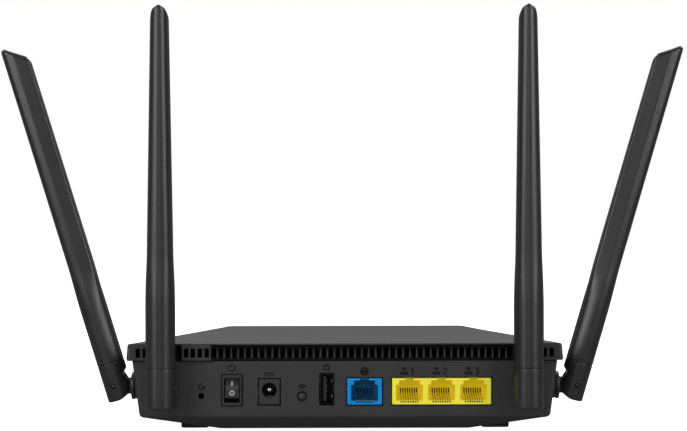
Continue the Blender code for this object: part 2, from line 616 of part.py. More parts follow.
def make_jack(name, x, width, port_places, colour, gold):
    """A socket block and the comb of spring contacts that lies in its ports."""
    front_y = PANEL_Y
    top_z = JACK_Z + JACK_HEIGHT / 2
    low, high = centred(x, front_y + JACK_DEPTH / 2, JACK_Z, width, JACK_DEPTH, JACK_HEIGHT)
    body = block(name, low, high, colour)
    for port_x in port_places:
        mouth = port_outline(port_x, STEP_HIGH_Z + 0.0004)
        cut(body, prism("mouth", mouth, front_y - 0.001, front_y + PORT_DEPTH, "Y"))
        low, high = centred(port_x, front_y, top_z, LATCH_WIDTH, 0.005, 2 * (top_z - STEP_HIGH_Z + 0.0002))
        cut(body, block("latch_slot", low, high))
    comb_gap = PORT_LOW_Z + GAP
    comb = contact_comb(f"{name.split('_')[0]}_contacts", port_places, front_y, comb_gap, gold)
    relief = contact_comb("relief", port_places, front_y, comb_gap, None, clearance=GAP)
    cut(body, relief)
    return comb


def contact_comb(name, port_places, front_y, low_z, gold, clearance=0.0):
    """A strip under the ports' floor with wires that slope up into each port."""
    strip_low = low_z - 0.0016
    first, last = port_places[0], port_places[-1]
    row_half = CONTACT_PITCH * (CONTACT_COUNT - 1) / 2 + CONTACT_WIDTH
    strip_y = front_y + 0.0035
    strip = block(
        name,
        (first - row_half - clearance, strip_y - clearance, strip_low - clearance),
        (last + row_half + clearance, strip_y + 0.0012 + clearance, strip_low + 0.0008 + clearance),
        gold,
    )
    rise = math.tan(CONTACT_SLOPE) * 0.0075
    wires = []
    for port_x in port_places:
        for i in range(CONTACT_COUNT):
            x = port_x + (i - (CONTACT_COUNT - 1) / 2) * CONTACT_PITCH
            half = CONTACT_WIDTH / 2 + clearance
            y0 = strip_y + 0.0002 - clearance
            y1 = strip_y + 0.0006 + clearance
            bottom, top = strip_low + 0.0004, low_z + 0.0002
            outline = [
                (y0, bottom),
                (y1, bottom),
                (y1, top - 0.0002),
                (y1 + 0.0075, top + rise - 0.0002),
                (y1 + 0.0075, top + rise + 0.0002),
                (y0, top + 0.0002),
            ]
            wires.append(prism("wire", outline, x - half, x + half, "X"))
    return join(strip, *wires)


def make_usb(steel, white):
    y = PANEL_Y
    low, high = centred(USB_X, y + USB_DEPTH / 2, USB_Z, USB_WIDTH, USB_DEPTH, USB_HEIGHT)
    shell = block("usb_shell", low, high, steel)
    inside_width, inside_height = USB_WIDTH - 2 * USB_WALL, USB_HEIGHT - 2 * USB_WALL
    inside = centred(USB_X, y + USB_DEPTH / 2 - USB_WALL, USB_Z, inside_width, USB_DEPTH, inside_height)
    cut(shell, block("inside", *inside))
    back_y = y + USB_DEPTH - USB_WALL - GAP
    plate = centred(USB_X, back_y - 0.001, USB_Z, inside_width - 2 * GAP, 0.002, inside_height - 2 * GAP)
    tongue = block("usb_tongue", *plate, white)
    tongue_x = USB_X - 0.0009
    blade = centred(tongue_x, y + USB_DEPTH / 2 - 0.0004, USB_Z, 0.0016, USB_DEPTH - 0.0025, 0.0109)
    join(tongue, block("blade", *blade))


def make_dc_jack(black, steel):
    y, bore_depth = PANEL_Y, 0.0105
    low, high = centred(DC_X, y + 0.007, DC_Z, DC_WIDTH, 0.014, DC_HEIGHT)
    body = block("dc_jack_body", low, high, black)
    bore_z = DC_Z + 0.0007
    cut(body, rod("bore", "Y", DC_BORE / 2, (DC_X, y - 0.001, bore_z), bore_depth + 0.001, ROUND))
    cut(body, rod("pin_hole", "Y", DC_PIN / 2 + GAP, (DC_X, y, bore_z), 0.02, SMALL_ROUND))
    slot = centred(DC_X, y + 0.0095, bore_z - 0.00235, 0.0026, 0.012, 0.0009)
    cut(body, block("spring_slot", *slot))
    smooth(rod("dc_jack_pin", "Y", DC_PIN / 2, (DC_X, y + 0.0008, bore_z), 0.0135, SMALL_ROUND, steel))
    block("dc_jack_spring", *centred(DC_X, y + 0.008, bore_z - 0.00235, 0.002, 0.011, 0.0003), steel)


def make_power_switch(black):
    """A bezel clipped into the panel and a rocker that tips about a pin across it."""
    flange = centred(SWITCH_X, PANEL_Y - BEZEL_PROUD / 2 - GAP, SWITCH_Z, SWITCH_WIDTH, BEZEL_PROUD, SWITCH_HEIGHT)
    bezel = block("power_switch_body", *flange, black)
    body_width, body_height = SWITCH_WIDTH - BEZEL_EDGE, SWITCH_HEIGHT - BEZEL_EDGE
    join(bezel, block("body", *centred(SWITCH_X, PANEL_Y + 0.005, SWITCH_Z, body_width, 0.012, body_height)))
    opening = centred(SWITCH_X, PANEL_Y + 0.002, SWITCH_Z, ROCKER_WIDTH, 0.014, ROCKER_HEIGHT)
    cut(bezel, block("opening", *opening))
    rocker_pivot = pivot("rocker_pivot", (SWITCH_X, PANEL_Y + ROCKER_PIN_Y, SWITCH_Z))
    shares = [i / 4 - 1 for i in range(9)]
    face = [(ROCKER_FACE_Y + ROCKER_HOLLOW * (1 - share**2), ROCKER_FACE_HALF * share) for share in shares]
    waist = ROCKER_FACE_HALF - 0.0003
    outline = [(0.0026, -0.0026), (0.0, -waist)] + face + [(0.0, waist), (0.0026, 0.0026)]
    half = ROCKER_WIDTH / 2 - GAP
    rocker = prism("power_rocker", outline, -half, half, "X", black)
    rocker.parent = rocker_pivot
    rocker_pivot.rotation_euler = (-ROCKER_TILT, 0, 0)


def make_buttons(black):
    button = rod("wps_button", "Y", WPS_CAP / 2, (0, -0.0004, 0), 0.0082, 16, black)
    join(button, rod("shoulder", "Y", WPS_CAP / 2 + 0.0012, (0, WALL + GAP, 0), 0.001, 16))
    smooth(button)
    button.parent = pivot("wps_slide", (WPS_X, PANEL_Y, WPS_Z))
    plunger = rod("reset_plunger", "Y", 0.0009, (0, 0.0013, 0), 0.0066, SMALL_ROUND, black)
    join(plunger, rod("shoulder", "Y", 0.0021, (0, WALL + GAP, 0), 0.001, SMALL_ROUND))
    smooth(plunger)
    plunger.parent = pivot("reset_slide", (RESET_X, PANEL_Y, RESET_Z))


def blade_ring(height, facet, half_width, slant=0.0):
    """One level of the radome: round where facet is 0, a ridged seven-sided shape where it is 1."""
    depth = BLADE_HALF_DEPTH
    corners = [(depth, 0.0), (0.75 * depth, 0.78 * half_width), (0.02 * depth, half_width), (-depth, 0.72 * half_width)]
    corners += [(n, -s) for n, s in reversed(corners[1:])]
    ring = []
    for i, (n, s) in enumerate(corners):
        after = corners[(i + 1) % len(corners)]
        for share in (0.0, 0.5):
            point_n, point_s = n + share * (after[0] - n), s + share * (after[1] - s)
            angle = math.atan2(point_s / half_width, point_n / depth)
            round_n, round_s = SLEEVE_RADIUS * math.cos(angle), SLEEVE_RADIUS * math.sin(angle)
            level_n = round_n + facet * (point_n - round_n)
            level_s = round_s + facet * (point_s - round_s)
            ring.append((level_n - PIN_OFFSET, level_s, height - slant * (depth - level_n)))
    return ring


def loft(name, rings, material=None):
    """A closed solid through rings of equal length."""
    bm = bmesh.new()
    levels = [[bm.verts.new(point) for point in ring] for ring in rings]
    for lower, upper in zip(levels, levels[1:]):
        for i in range(len(lower)):
            after = (i + 1) % len(lower)
            bm.faces.new((lower[i], lower[after], upper[after], upper[i]))
    bm.faces.new(levels[0])
    bm.faces.new(levels[-1])
    bmesh.ops.connect_verts_concave(bm, faces=bm.faces)
    return object_from(name, bm, material)


def make_radome(black):
    foot = SEAM_HEIGHT - PIN_HEIGHT + GAP
    tip = ANTENNA_LENGTH - PIN_HEIGHT
    round_top, facet_top = ROUND_HEIGHT - PIN_HEIGHT, FACET_HEIGHT - PIN_HEIGHT
    slant = math.tan(TIP_SLANT)
    rings = [
        blade_ring(foot, 0.0, SLEEVE_RADIUS),
        blade_ring(round_top, 0.0, SLEEVE_RADIUS),
        blade_ring(facet_top, 1.0, BLADE_HALF_WIDTH),
        blade_ring(tip - 0.0012, 1.0, TIP_HALF_WIDTH, slant),
        blade_ring(tip, 1.0, TIP_HALF_WIDTH - 0.0012, slant),
    ]
    radome = loft("radome", rings, black)
    bore_start = (-PIN_OFFSET, 0.0, foot - 0.001)
    cut(radome, rod("bore", "Z", BORE_RADIUS, bore_start, round_top - foot, ROUND))
    half_width, half_depth = RADIATOR_WIDTH / 2 + 2 * GAP, RADIATOR_THICKNESS / 2 + 2 * GAP
    pocket_top = foot + SPIGOT_LENGTH + RADIATOR_LENGTH + 0.003
    pocket_low = (-PIN_OFFSET - half_width, -half_depth, round_top - 0.004)
    cut(radome, block("pocket", pocket_low, (-PIN_OFFSET + half_width, half_depth, pocket_top)))
    return smooth(radome)


def make_knuckle(black):
    seam, foot = SEAM_HEIGHT - PIN_HEIGHT, -PIN_HEIGHT
    inner = PIN_OFFSET + SLEEVE_RADIUS
    outer = SLEEVE_RADIUS - PIN_OFFSET
    knuckle = rod("knuckle", "Z", SLEEVE_RADIUS, (-PIN_OFFSET, 0, foot), seam - foot, ROUND, black)
    profile = [(outer + 0.001, seam + 0.001), (-inner - 0.001, seam + 0.001), (-inner - 0.001, PIN_HEIGHT)]
    profile += [(-inner, PIN_HEIGHT), (0.0022 - inner, PIN_HEIGHT - 0.002)]
    profile += arc(0.0, 0.0, PIN_HEIGHT, 158, 270, 8)
    profile += [(outer - 0.001, foot), (outer, foot + 0.001), (outer + 0.001, foot + 0.001)]
    keep_inside(knuckle, prism("profile", profile, -0.01, 0.01, "Y"))
    reach = EYE_RADIUS + 2 * GAP
    slot_half = TONGUE_THICKNESS / 2 + GAP
    slot = [(-0.01, -0.01), (-0.01, reach)] + arc(0.0, 0.0, reach, 90, 0, 5) + [(reach, -0.01)]
    cut(knuckle, prism("slot", slot, -slot_half, slot_half, "Y"))
    join(knuckle, rod("spigot", "Z", BORE_RADIUS - GAP, (-PIN_OFFSET, 0, seam - 0.002), SPIGOT_LENGTH + 0.002, ROUND))
    cut(knuckle, rod("pin_hole", "Y", PIN_RADIUS + GAP, (0, -0.01, 0), 0.02, SMALL_ROUND))
    return smooth(knuckle)


def make_stub(black):
    """The swivel: a shaft with a snap collar inside the case, a flange outside it and the hinge's tongue."""
    flange_back = -FLANGE_REACH - FLANGE_THICKNESS
    collar_back = flange_back - GAP - WALL - GAP - COLLAR_THICKNESS
    stub = rod("stub", "X", FLANGE_RADIUS, (flange_back, 0, 0), FLANGE_THICKNESS, ROUND, black)
    shaft = rod("shaft", "X", SHAFT_RADIUS, (collar_back, 0, 0), flange_back - collar_back + 0.0005, ROUND)
    collar = rod("collar", "X", COLLAR_RADIUS, (collar_back, 0, 0), COLLAR_THICKNESS, ROUND)
    join(stub, shaft)
    join(stub, collar)
    half = TONGUE_THICKNESS / 2
    root = TONGUE_HEIGHT / 2
    outline = [(-FLANGE_REACH - 0.0005, -root), (0.0015 - FLANGE_REACH, -root)]
    outline += arc(0.0, 0.0, EYE_RADIUS, -110, 110, 8)
    outline += [(0.0015 - FLANGE_REACH, root), (-FLANGE_REACH - 0.0005, root)]
    join(stub, prism("tongue", outline, -half, half, "Y"))
    cut(stub, rod("eye", "Y", PIN_RADIUS + GAP, (0, -0.01, 0), 0.02, SMALL_ROUND))
    return smooth(stub)


def make_antennas(black, steel, green, copper):
    """Four antennas from one set of meshes, each on its own swivel and hinge."""
    radiator_z = SEAM_HEIGHT - PIN_HEIGHT + SPIGOT_LENGTH + GAP
    radiator_low = (-PIN_OFFSET - RADIATOR_WIDTH / 2, -RADIATOR_THICKNESS / 2, radiator_z)
    radiator_high = (-PIN_OFFSET + RADIATOR_WIDTH / 2, RADIATOR_THICKNESS / 2, radiator_z + RADIATOR_LENGTH)
    pin = smooth(rod("hinge_pin", "Y", PIN_RADIUS, (0, -PIN_LENGTH / 2, 0), PIN_LENGTH, SMALL_ROUND, steel))
    patterns = {
        "stub": make_stub(black),
        "knuckle": make_knuckle(black),
        "radome": make_radome(black),
        "hinge_pin": pin,
        "radiator": block("radiator", radiator_low, radiator_high, green),
    }
    wall_reach = FLANGE_REACH + FLANGE_THICKNESS + GAP
    rear_pin_y = PANEL_Y - wall_reach
    collar_reach = wall_reach + WALL + GAP + COLLAR_THICKNESS
    for name, place, heading, lean in (
        ("rear_left", (-REAR_ANTENNA_X, rear_pin_y, REAR_ANTENNA_Z), -90, 0.0),
        ("rear_right", (REAR_ANTENNA_X, rear_pin_y, REAR_ANTENNA_Z), -90, 0.0),
        ("side_left", (-SIDE_ANTENNA_X, SIDE_ANTENNA_Y, SIDE_ANTENNA_Z), 180, SIDE_LEAN_LEFT),
        ("side_right", (SIDE_ANTENNA_X, SIDE_ANTENNA_Y, SIDE_ANTENNA_Z), 0, SIDE_LEAN_RIGHT),
    ):
        turn = Matrix.Rotation(math.radians(heading), 4, "Z")
        swivel = pivot(f"{name}_swivel", place, turn)
        hinge = pivot(f"{name}_hinge", (0, 0, 0), Matrix.Rotation(lean, 4, "Y"), swivel)
        for piece, pattern in patterns.items():
            copy = bpy.data.objects.new(f"{name}_{piece}", pattern.data)
            bpy.context.collection.objects.link(copy)
            copy.parent = swivel if piece == "stub" else hinge
        make_lead(name, Matrix.Translation(place) @ turn, collar_reach, copper)
    for pattern in patterns.values():
        bpy.data.objects.remove(pattern, do_unlink=True)


def make_lead(name, placing, collar_reach, copper):
    """The coaxial lead from an antenna's swivel to the nearer shield can, in one smooth curve."""
    start = placing @ Matrix.Translation((-collar_reach - GAP, 0, 0)).to_translation()
    ahead = placing @ Matrix.Translation((-collar_reach - 0.018, 0, 0)).to_translation()
    side = math.copysign(1, start.x)
    end_y = PANEL_Y + (REAR_LEAD_END_Y if "rear" in name else SIDE_LEAD_END_Y)
    end_z = BOARD_TOP_Z + CAN_HEIGHT + 0.0012
    end = start.copy()
    end.xyz = (side * LEAD_END_X, end_y, end_z)
    before = end.copy()
    before.x += side * 0.012
    points = []
    steps = 14
    for i in range(steps + 1):
        t = i / steps
        a, b, c, d = (1 - t) ** 3, 3 * t * (1 - t) ** 2, 3 * t * t * (1 - t), t**3
        points.append(a * start + b * ahead + c * before + d * end)
    curve = bpy.data.curves.new(f"{name}_lead", "CURVE")
    curve.dimensions = "3D"
    curve.bevel_depth = LEAD_RADIUS
    curve.bevel_resolution = 1
    curve.use_fill_caps = True
    line = curve.splines.new("POLY")
    line.points.add(len(points) - 1)
    for spot, point in zip(line.points, points):
        spot.co = (*point, 1)
    curve.materials.append(copper)
    lead = bpy.data.objects.new(f"{name}_lead", curve)
    bpy.context.collection.objects.link(lead)


def make_label(silver):
    low_z = FLOOR_Z
    low, high = centred(0, PANEL_Y + LABEL_Y, low_z, LABEL_WIDTH, LABEL_LENGTH, 0)
    block("rating_label", (low[0], low[1], low_z), (high[0], high[1], low_z + LABEL_THICKNESS), silver)


def main():
    clear_scene()
    black = finish("case_black", (0.045, 0.045, 0.047), 0.5)
    gloss = finish("switch_black", (0.03, 0.03, 0.032), 0.35)
    rubber = finish("rubber", (0.02, 0.02, 0.02), 0.85)
    steel = finish("steel", (0.6, 0.6, 0.6), 0.3, 1.0)
    tin = finish("tin", (0.7, 0.7, 0.68), 0.35, 1.0)
    silver = finish("label_silver", (0.55, 0.55, 0.56), 0.5)
    aluminium = finish("aluminium", (0.65, 0.66, 0.68), 0.4, 1.0)
    gold = finish("gold", (0.85, 0.62, 0.25), 0.25, 1.0)
    green = finish("board_green", (0.02, 0.12, 0.06), 0.4)
    chip = finish("chip_black", (0.02, 0.02, 0.02), 0.6)
    grey = finish("switch_grey", (0.12, 0.12, 0.12), 0.5)
    clear = finish("light_clear", (0.8, 0.82, 0.85), 0.15)
    blue = finish("socket_blue", (0.0, 0.22, 0.55), 0.4)
    yellow = finish("socket_yellow", (0.93, 0.8, 0.05), 0.4)
    white = finish("insulator", (0.03, 0.03, 0.03), 0.4)
    make_base_shell(black)
    make_cover(black)
    make_feet(rubber)
    make_label(silver)
    make_light_pipe(clear)
    make_screws(steel)
    make_board(green)
    make_on_board(chip, aluminium, tin, grey)
    make_jack("wan_jack", WAN_X, WAN_WIDTH, [WAN_X], blue, gold)
    lan_places = [LAN_X + (i - (LAN_PORTS - 1) / 2) * LAN_PITCH for i in range(LAN_PORTS)]
    make_jack("lan_jack_block", LAN_X, LAN_WIDTH, lan_places, yellow, gold)
    make_usb(steel, white)
    make_dc_jack(gloss, steel)
    make_power_switch(gloss)
    make_buttons(gloss)
    make_antennas(black, steel, green, gold)


main()
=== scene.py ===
import json
import math

import bpy
import numpy as np
from mathutils import Matrix, Vector


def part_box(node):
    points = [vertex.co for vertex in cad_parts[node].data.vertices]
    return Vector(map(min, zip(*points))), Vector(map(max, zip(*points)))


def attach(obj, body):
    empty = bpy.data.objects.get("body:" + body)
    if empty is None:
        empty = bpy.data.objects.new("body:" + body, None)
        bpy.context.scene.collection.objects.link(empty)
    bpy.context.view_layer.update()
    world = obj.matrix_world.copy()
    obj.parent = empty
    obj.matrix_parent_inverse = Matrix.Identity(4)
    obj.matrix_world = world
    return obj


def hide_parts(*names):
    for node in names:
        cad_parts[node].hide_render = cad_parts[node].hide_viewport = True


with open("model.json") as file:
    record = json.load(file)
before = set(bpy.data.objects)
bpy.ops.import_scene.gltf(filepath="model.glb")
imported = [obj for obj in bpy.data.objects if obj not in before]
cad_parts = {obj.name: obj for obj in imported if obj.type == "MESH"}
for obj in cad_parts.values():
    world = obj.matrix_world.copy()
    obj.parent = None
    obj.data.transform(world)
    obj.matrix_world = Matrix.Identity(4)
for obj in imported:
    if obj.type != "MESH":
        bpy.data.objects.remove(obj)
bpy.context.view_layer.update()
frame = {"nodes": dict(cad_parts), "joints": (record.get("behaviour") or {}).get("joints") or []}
scene = bpy.context.scene
hairGap = 0.0003  # between pieces that touch
joints = {joint["name"]: joint for joint in frame["joints"]}

class Wire:
    # one output socket; an expression on wires adds its Math nodes
    def __init__(self, finish, socket):
        self.finish = finish
        self.socket = socket

    def maths(self, operation, *values):
        return self.finish.node("Math", {"operation": operation}, dict(enumerate(values)))

    def __add__(self, other):
        return self.maths("ADD", self, other)

    def __radd__(self, other):
        return self.maths("ADD", other, self)

    def __sub__(self, other):
        return self.maths("SUBTRACT", self, other)

    def __rsub__(self, other):
        return self.maths("SUBTRACT", other, self)

    def __mul__(self, other):
        return self.maths("MULTIPLY", self, other)

    def __rmul__(self, other):
        return self.maths("MULTIPLY", other, self)

    def __gt__(self, other):
        return self.maths("GREATER_THAN", self, other)


class Finish:
    # a material being made around its Principled shader
    def __init__(self, name, **constants):
        self.material = bpy.data.materials.new(name)
        self.material.use_nodes = True
        self.tree = self.material.node_tree
        self.shader = self.tree.nodes["Principled BSDF"]
        for key, value in constants.items():
            self.shader.inputs[key.replace("_", " ")].default_value = value

    def node(self, kind, settings, sockets, output=0):
        made = self.tree.nodes.new("ShaderNode" + kind)
        for key, value in settings.items():
            setattr(made, key, value)
        for key, value in sockets.items():
            if isinstance(value, Wire):
                self.tree.links.new(value.socket, made.inputs[key])
            else:
                made.inputs[key].default_value = value
        return Wire(self, made.outputs[output])

    def place(self, stretch=(1, 1, 1)):
        # object coordinates in metres, stretched along each axis
        where = self.node("TexCoord", {}, {}, "Object")
        return self.node("Mapping", {}, {"Vector": where, "Scale": stretch})

    def noise(self, size, detail=2.0, stretch=(1, 1, 1)):
        sockets = {"Vector": self.place(stretch), "Scale": 1 / size, "Detail": detail}
        return self.node("TexNoise", {}, sockets)

    def cells(self, size, output="Distance"):
        return self.node("TexVoronoi", {}, {"Vector": self.place(), "Scale": 1 / size}, output)

    def mix(self, share, first, second):
        return self.node("Mix", {"data_type": "RGBA"}, {0: share, 6: first, 7: second}, 2)

    def feed(self, socket, wire):
        self.tree.links.new(wire.socket, self.shader.inputs[socket])

    def bump(self, height, depth, strength=1.0):
        sockets = {"Height": height, "Distance": depth, "Strength": strength}
        self.feed("Normal", self.node("Bump", {}, sockets))


def shade(colour, factor=1.0):
    return (*[min(1.0, part * factor) for part in colour], 1.0)


def mouldedPlastic(name, colour, roughness, grain, depth, mottle=0.25, stretch=(1, 1, 1), specular=0.5):
    # fine moulded grain, cloudy change of tone and of gloss, and a few rubbed, paler spots
    made = Finish(name, Specular_IOR_Level=specular)
    cloud = made.noise(0.021, 3.0)
    patch = made.noise(0.0035, 2.0)
    rubbed = (patch - 0.62) * 2.0 * cloud
    tone = made.mix(cloud, shade(colour, 1 - mottle), shade(colour, 1 + mottle))
    made.feed("Base Color", made.mix(rubbed.maths("MAXIMUM", rubbed, 0.0), tone, shade(colour, 2.2)))
    made.feed("Roughness", roughness + (cloud - 0.5) * 0.12 + (patch - 0.5) * 0.06)
    coarse = made.noise(grain, 2.0, stretch)
    fine = made.noise(grain * 0.4, 1.0, stretch)
    made.bump(coarse + fine * 0.35, depth)
    return made.material


def wornMetal(name, colour, roughness, streak=(1, 1, 1)):
    # rolled or plated metal with faint drawn lines and dull, finger-touched clouds
    made = Finish(name, Metallic=1.0)
    cloud = made.noise(0.004, 3.0)
    line = made.noise(0.0005, 2.0, streak)
    made.feed("Base Color", made.mix(cloud, shade(colour, 0.75), shade(colour, 1.1)))
    made.feed("Roughness", roughness + (cloud - 0.5) * 0.2 + (line - 0.5) * 0.12)
    made.bump(line, 0.00001)
    return made.material


def glossPlastic(name, colour, roughness, mottle=0.08, paintedGlow=0.0):
    # smooth moulded plastic with flow marks and a slightly deeper tone in clouds; a nonzero glow strength
    # is a painted glow, an even emission in the plastic's own colour standing in for light reaching the
    # sockets' insides
    made = Finish(name, Specular_IOR_Level=0.35, Emission_Color=shade(colour), Emission_Strength=paintedGlow)
    cloud = made.noise(0.006, 2.0)
    flow = made.noise(0.0011, 2.0, (1, 1, 0.25))
    made.feed("Base Color", made.mix(cloud, shade(colour, 1 - mottle), shade(colour, 1 + mottle)))
    made.feed("Roughness", roughness + (flow - 0.5) * 0.1)
    made.bump(flow + made.noise(0.0002, 1.0) * 0.4, 0.00001)
    return made.material


def ribPlasticPaintedLight(name, colour, foot, top):
    # the cover's plastic with a painted highlight: its tone rises towards the ribs' feet, painted light
    # standing in for the light that reaches them from below, with random cloudy tone besides
    made = Finish(name, Specular_IOR_Level=0.5)
    height = made.node("SeparateXYZ", {}, {0: made.place()}, 2)
    cloud = made.noise(0.0021, 2.0)
    share = (height - foot) * (1 / (top - foot)) + (cloud - 0.5) * 0.3
    made.feed("Base Color", made.mix(share, shade(colour, 4.5), shade(colour)))
    made.feed("Roughness", 0.4 + (cloud - 0.5) * 0.15)
    made.bump(made.noise(0.0004, 2.0), 0.00002)
    return made.material


def boardGreen():
    # solder mask over copper tracks, with tinned pads where cells fall small
    made = Finish("boardGreen", Specular_IOR_Level=0.5)
    track = made.noise(0.0016, 0.0, (1, 0.15, 1)) > 0.55
    pad = made.cells(0.0028) * -1 > -0.16
    mask = made.mix(track, (0.006, 0.05, 0.02, 1), (0.012, 0.09, 0.035, 1))
    made.feed("Base Color", made.mix(pad, mask, (0.6, 0.56, 0.42, 1)))
    made.feed("Metallic", pad * 0.9)
    made.feed("Roughness", 0.35 + pad * 0.1)
    made.bump(track + pad, 0.00004)
    return made.material


finishSettings = {
    "case": {"colour": (0.021, 0.021, 0.0215), "roughness": 0.5, "grain": 0.0004, "depth": 0.00003},
    "cover": {"colour": (0.022, 0.022, 0.0225), "roughness": 0.42, "grain": 0.0005, "depth": 0.00002},
    "antenna": {"colour": (0.019, 0.019, 0.0195), "roughness": 0.32, "grain": 0.0006, "depth": 0.00005},
    "blue": (0.0, 0.235, 0.6),
    "yellow": (0.96, 0.85, 0.06),
    "blueInsidePaintedShade": (0.0, 0.16, 0.36),
    "yellowInsidePaintedShade": (0.93, 0.78, 0.02),
}
caseBlack = mouldedPlastic("caseBlack", **finishSettings["case"])
coverBlack = mouldedPlastic("coverBlack", stretch=(0.12, 1, 1), **finishSettings["cover"])
# the ribs' finish, paler towards their feet: a painted highlight
ribBlackPaintedLight = ribPlasticPaintedLight("ribBlackPaintedLight", (0.015, 0.015, 0.0155), 0.0322, 0.0362)
# painted shade: a near-black, low-sheen finish for the grille's recess, its slots and the lip's notches,
# standing in for the shade there
recessPaintedShade = mouldedPlastic("recessPaintedShade", (0.004, 0.004, 0.004), 0.7, 0.0004, 0.00003, specular=0.12)
antennaBlack = mouldedPlastic("antennaBlack", **finishSettings["antenna"])
hingeBlack = mouldedPlastic("hingeBlack", (0.022, 0.022, 0.022), 0.38, 0.0006, 0.000015)
rockerBlack = mouldedPlastic("rockerBlack", (0.02, 0.02, 0.021), 0.33, 0.0003, 0.00001)
legendInk = mouldedPlastic("legendInk", (0.001, 0.001, 0.001), 0.7, 0.0002, 0.000005, specular=0.05)
markWhite = mouldedPlastic("markWhite", (0.34, 0.34, 0.34), 0.5, 0.0002, 0.000005, mottle=0.1)
rubberBlack = mouldedPlastic("rubberBlack", (0.015, 0.015, 0.015), 0.85, 0.0007, 0.00005)
socketBlue = glossPlastic("socketBlue", finishSettings["blue"], 0.38)
socketYellow = glossPlastic("socketYellow", finishSettings["yellow"], 0.42)
# the sockets' insides: darker copies of the socket plastics as painted shade, with an even emission as a
# painted glow
socketBlueInsidePaintedLight = glossPlastic("socketBlueInsidePaintedLight", finishSettings["blueInsidePaintedShade"], 0.5, paintedGlow=0.04)
socketYellowInsidePaintedLight = glossPlastic("socketYellowInsidePaintedLight", finishSettings["yellowInsidePaintedShade"], 0.5, paintedGlow=0.09)
# painted shade: a near-black lining taken by the cut faces of holes, grooves, bores, the jacks' notches and
# wells and the USB tongue's root
cavityPaintedShade = glossPlastic("cavityPaintedShade", (0.006, 0.005, 0.004), 0.6)
tonguePlastic = glossPlastic("tonguePlastic", (0.014, 0.014, 0.016), 0.4)
springGold = wornMetal("springGold", (0.83, 0.6, 0.25), 0.28, (1, 0.1, 1))
# the jacks' contact wires: gold darkened to brown, painted shade
wireGoldPaintedShade = wornMetal("wireGoldPaintedShade", (0.4, 0.3, 0.15), 0.35, (1, 0.1, 1))
screwSteel = wornMetal("screwSteel", (0.55, 0.55, 0.56), 0.32)
pinSteel = wornMetal("pinSteel", (0.5, 0.5, 0.49), 0.25, (0.1, 1, 1))
hingeSteel = wornMetal("hingeSteel", (0.09, 0.09, 0.09), 0.4, (1, 0.1, 1))
# the USB shell: metal darkened to near-black, painted shade for the port's dark inside
shellNickelPaintedShade = wornMetal("shellNickelPaintedShade", (0.028, 0.027, 0.026), 0.5, (1, 0.1, 1))
canTin = wornMetal("canTin", (0.62, 0.62, 0.6), 0.35, (0.1, 1, 1))
sinkAluminium = wornMetal("sinkAluminium", (0.6, 0.61, 0.63), 0.42, (0.1, 1, 1))
labelSilver = mouldedPlastic("labelSilver", (0.42, 0.42, 0.43), 0.45, 0.0012, 0.000006, mottle=0.06)
chipBlack = mouldedPlastic("chipBlack", (0.016, 0.016, 0.017), 0.6, 0.00025, 0.00001)
switchGrey = mouldedPlastic("switchGrey", (0.1, 0.1, 0.1), 0.5, 0.0003, 0.00001)
leadBrown = mouldedPlastic("leadBrown", (0.05, 0.035, 0.02), 0.4, 0.0004, 0.00001)
boardFinish = boardGreen()
pipeClear = glossPlastic("pipeClear", (0.55, 0.57, 0.6), 0.2)
print("finishes made", len(bpy.data.materials))

def rounded(points, radii, segments, closed=True):
    # each corner gives way to a quadratic curve that starts one radius before it and ends one after,
    # and reaches no further than 0.45 of the shorter side
    points = np.asarray(points, float)
    radii = np.broadcast_to(radii, points.shape[:-1])[..., None]
    back = np.roll(points, 1, axis=-2) - points
    ahead = np.roll(points, -1, axis=-2) - points
    backLength = np.linalg.norm(back, axis=-1, keepdims=True) + 1e-9
    aheadLength = np.linalg.norm(ahead, axis=-1, keepdims=True) + 1e-9
    reach = np.minimum(radii, 0.45 * np.minimum(backLength, aheadLength))
    start = (points + back / backLength * reach)[..., None, :]
    end = (points + ahead / aheadLength * reach)[..., None, :]
    share = np.linspace(0, 1, segments + 1)[:, None]
    corner = points[..., None, :]
    curve = (1 - share) ** 2 * start + 2 * share * (1 - share) * corner + share**2 * end
    if closed:
        return curve.reshape(*points.shape[:-2], -1, points.shape[-1])
    inner = curve[..., 1:-1, :, :].reshape(*points.shape[:-2], -1, points.shape[-1])
    return np.concatenate([points[..., :1, :], inner, points[..., -1:, :]], axis=-2)


def spaced(count, pitch):
    # places a pitch apart, centred on zero
    return (np.arange(count) - (count - 1) / 2) * pitch


def newPiece(name, points, faces, finish):
    mesh = bpy.data.meshes.new(name)
    mesh.from_pydata(points.tolist(), [], faces)
    mesh.materials.append(finish)
    piece = bpy.data.objects.new(name, mesh)
    scene.collection.objects.link(piece)
    return piece


def ringQuads(index):
    # quads between neighbouring rows of a grid of point numbers whose columns run round
    after = np.roll(index, -1, axis=1)
    return np.stack([index[:-1], after[:-1], after[1:], index[1:]], axis=-1).reshape(-1, 4)


def closedSurface(name, grid, finish, ring=False):
    # quads between the rows of a grid whose columns run round, with an end face on each end row;
    # with ring the last row joins the first instead. The faces are turned to give a positive volume
    rows, columns = grid.shape[:2]
    index = np.arange(rows * columns).reshape(rows, columns)
    if ring:
        index = np.concatenate([index, index[:1]])
    quads = ringQuads(index)
    points = grid.reshape(-1, 3)
    faces = quads.tolist()
    fans = [quads[:, [0, 1, 2]], quads[:, [0, 2, 3]]]
    if not ring:
        for end in (index[0, ::-1], index[-1]):
            faces.append(end.tolist())
            fans.append(np.stack([np.full(columns - 2, end[0]), end[1:-1], end[2:]], axis=1))
    a, b, c = points[np.concatenate(fans)].transpose(1, 0, 2)
    if np.einsum("ij,ij->", a, np.cross(b, c)) < 0:
        faces = [face[::-1] for face in faces]
    return newPiece(name, points, faces, finish)


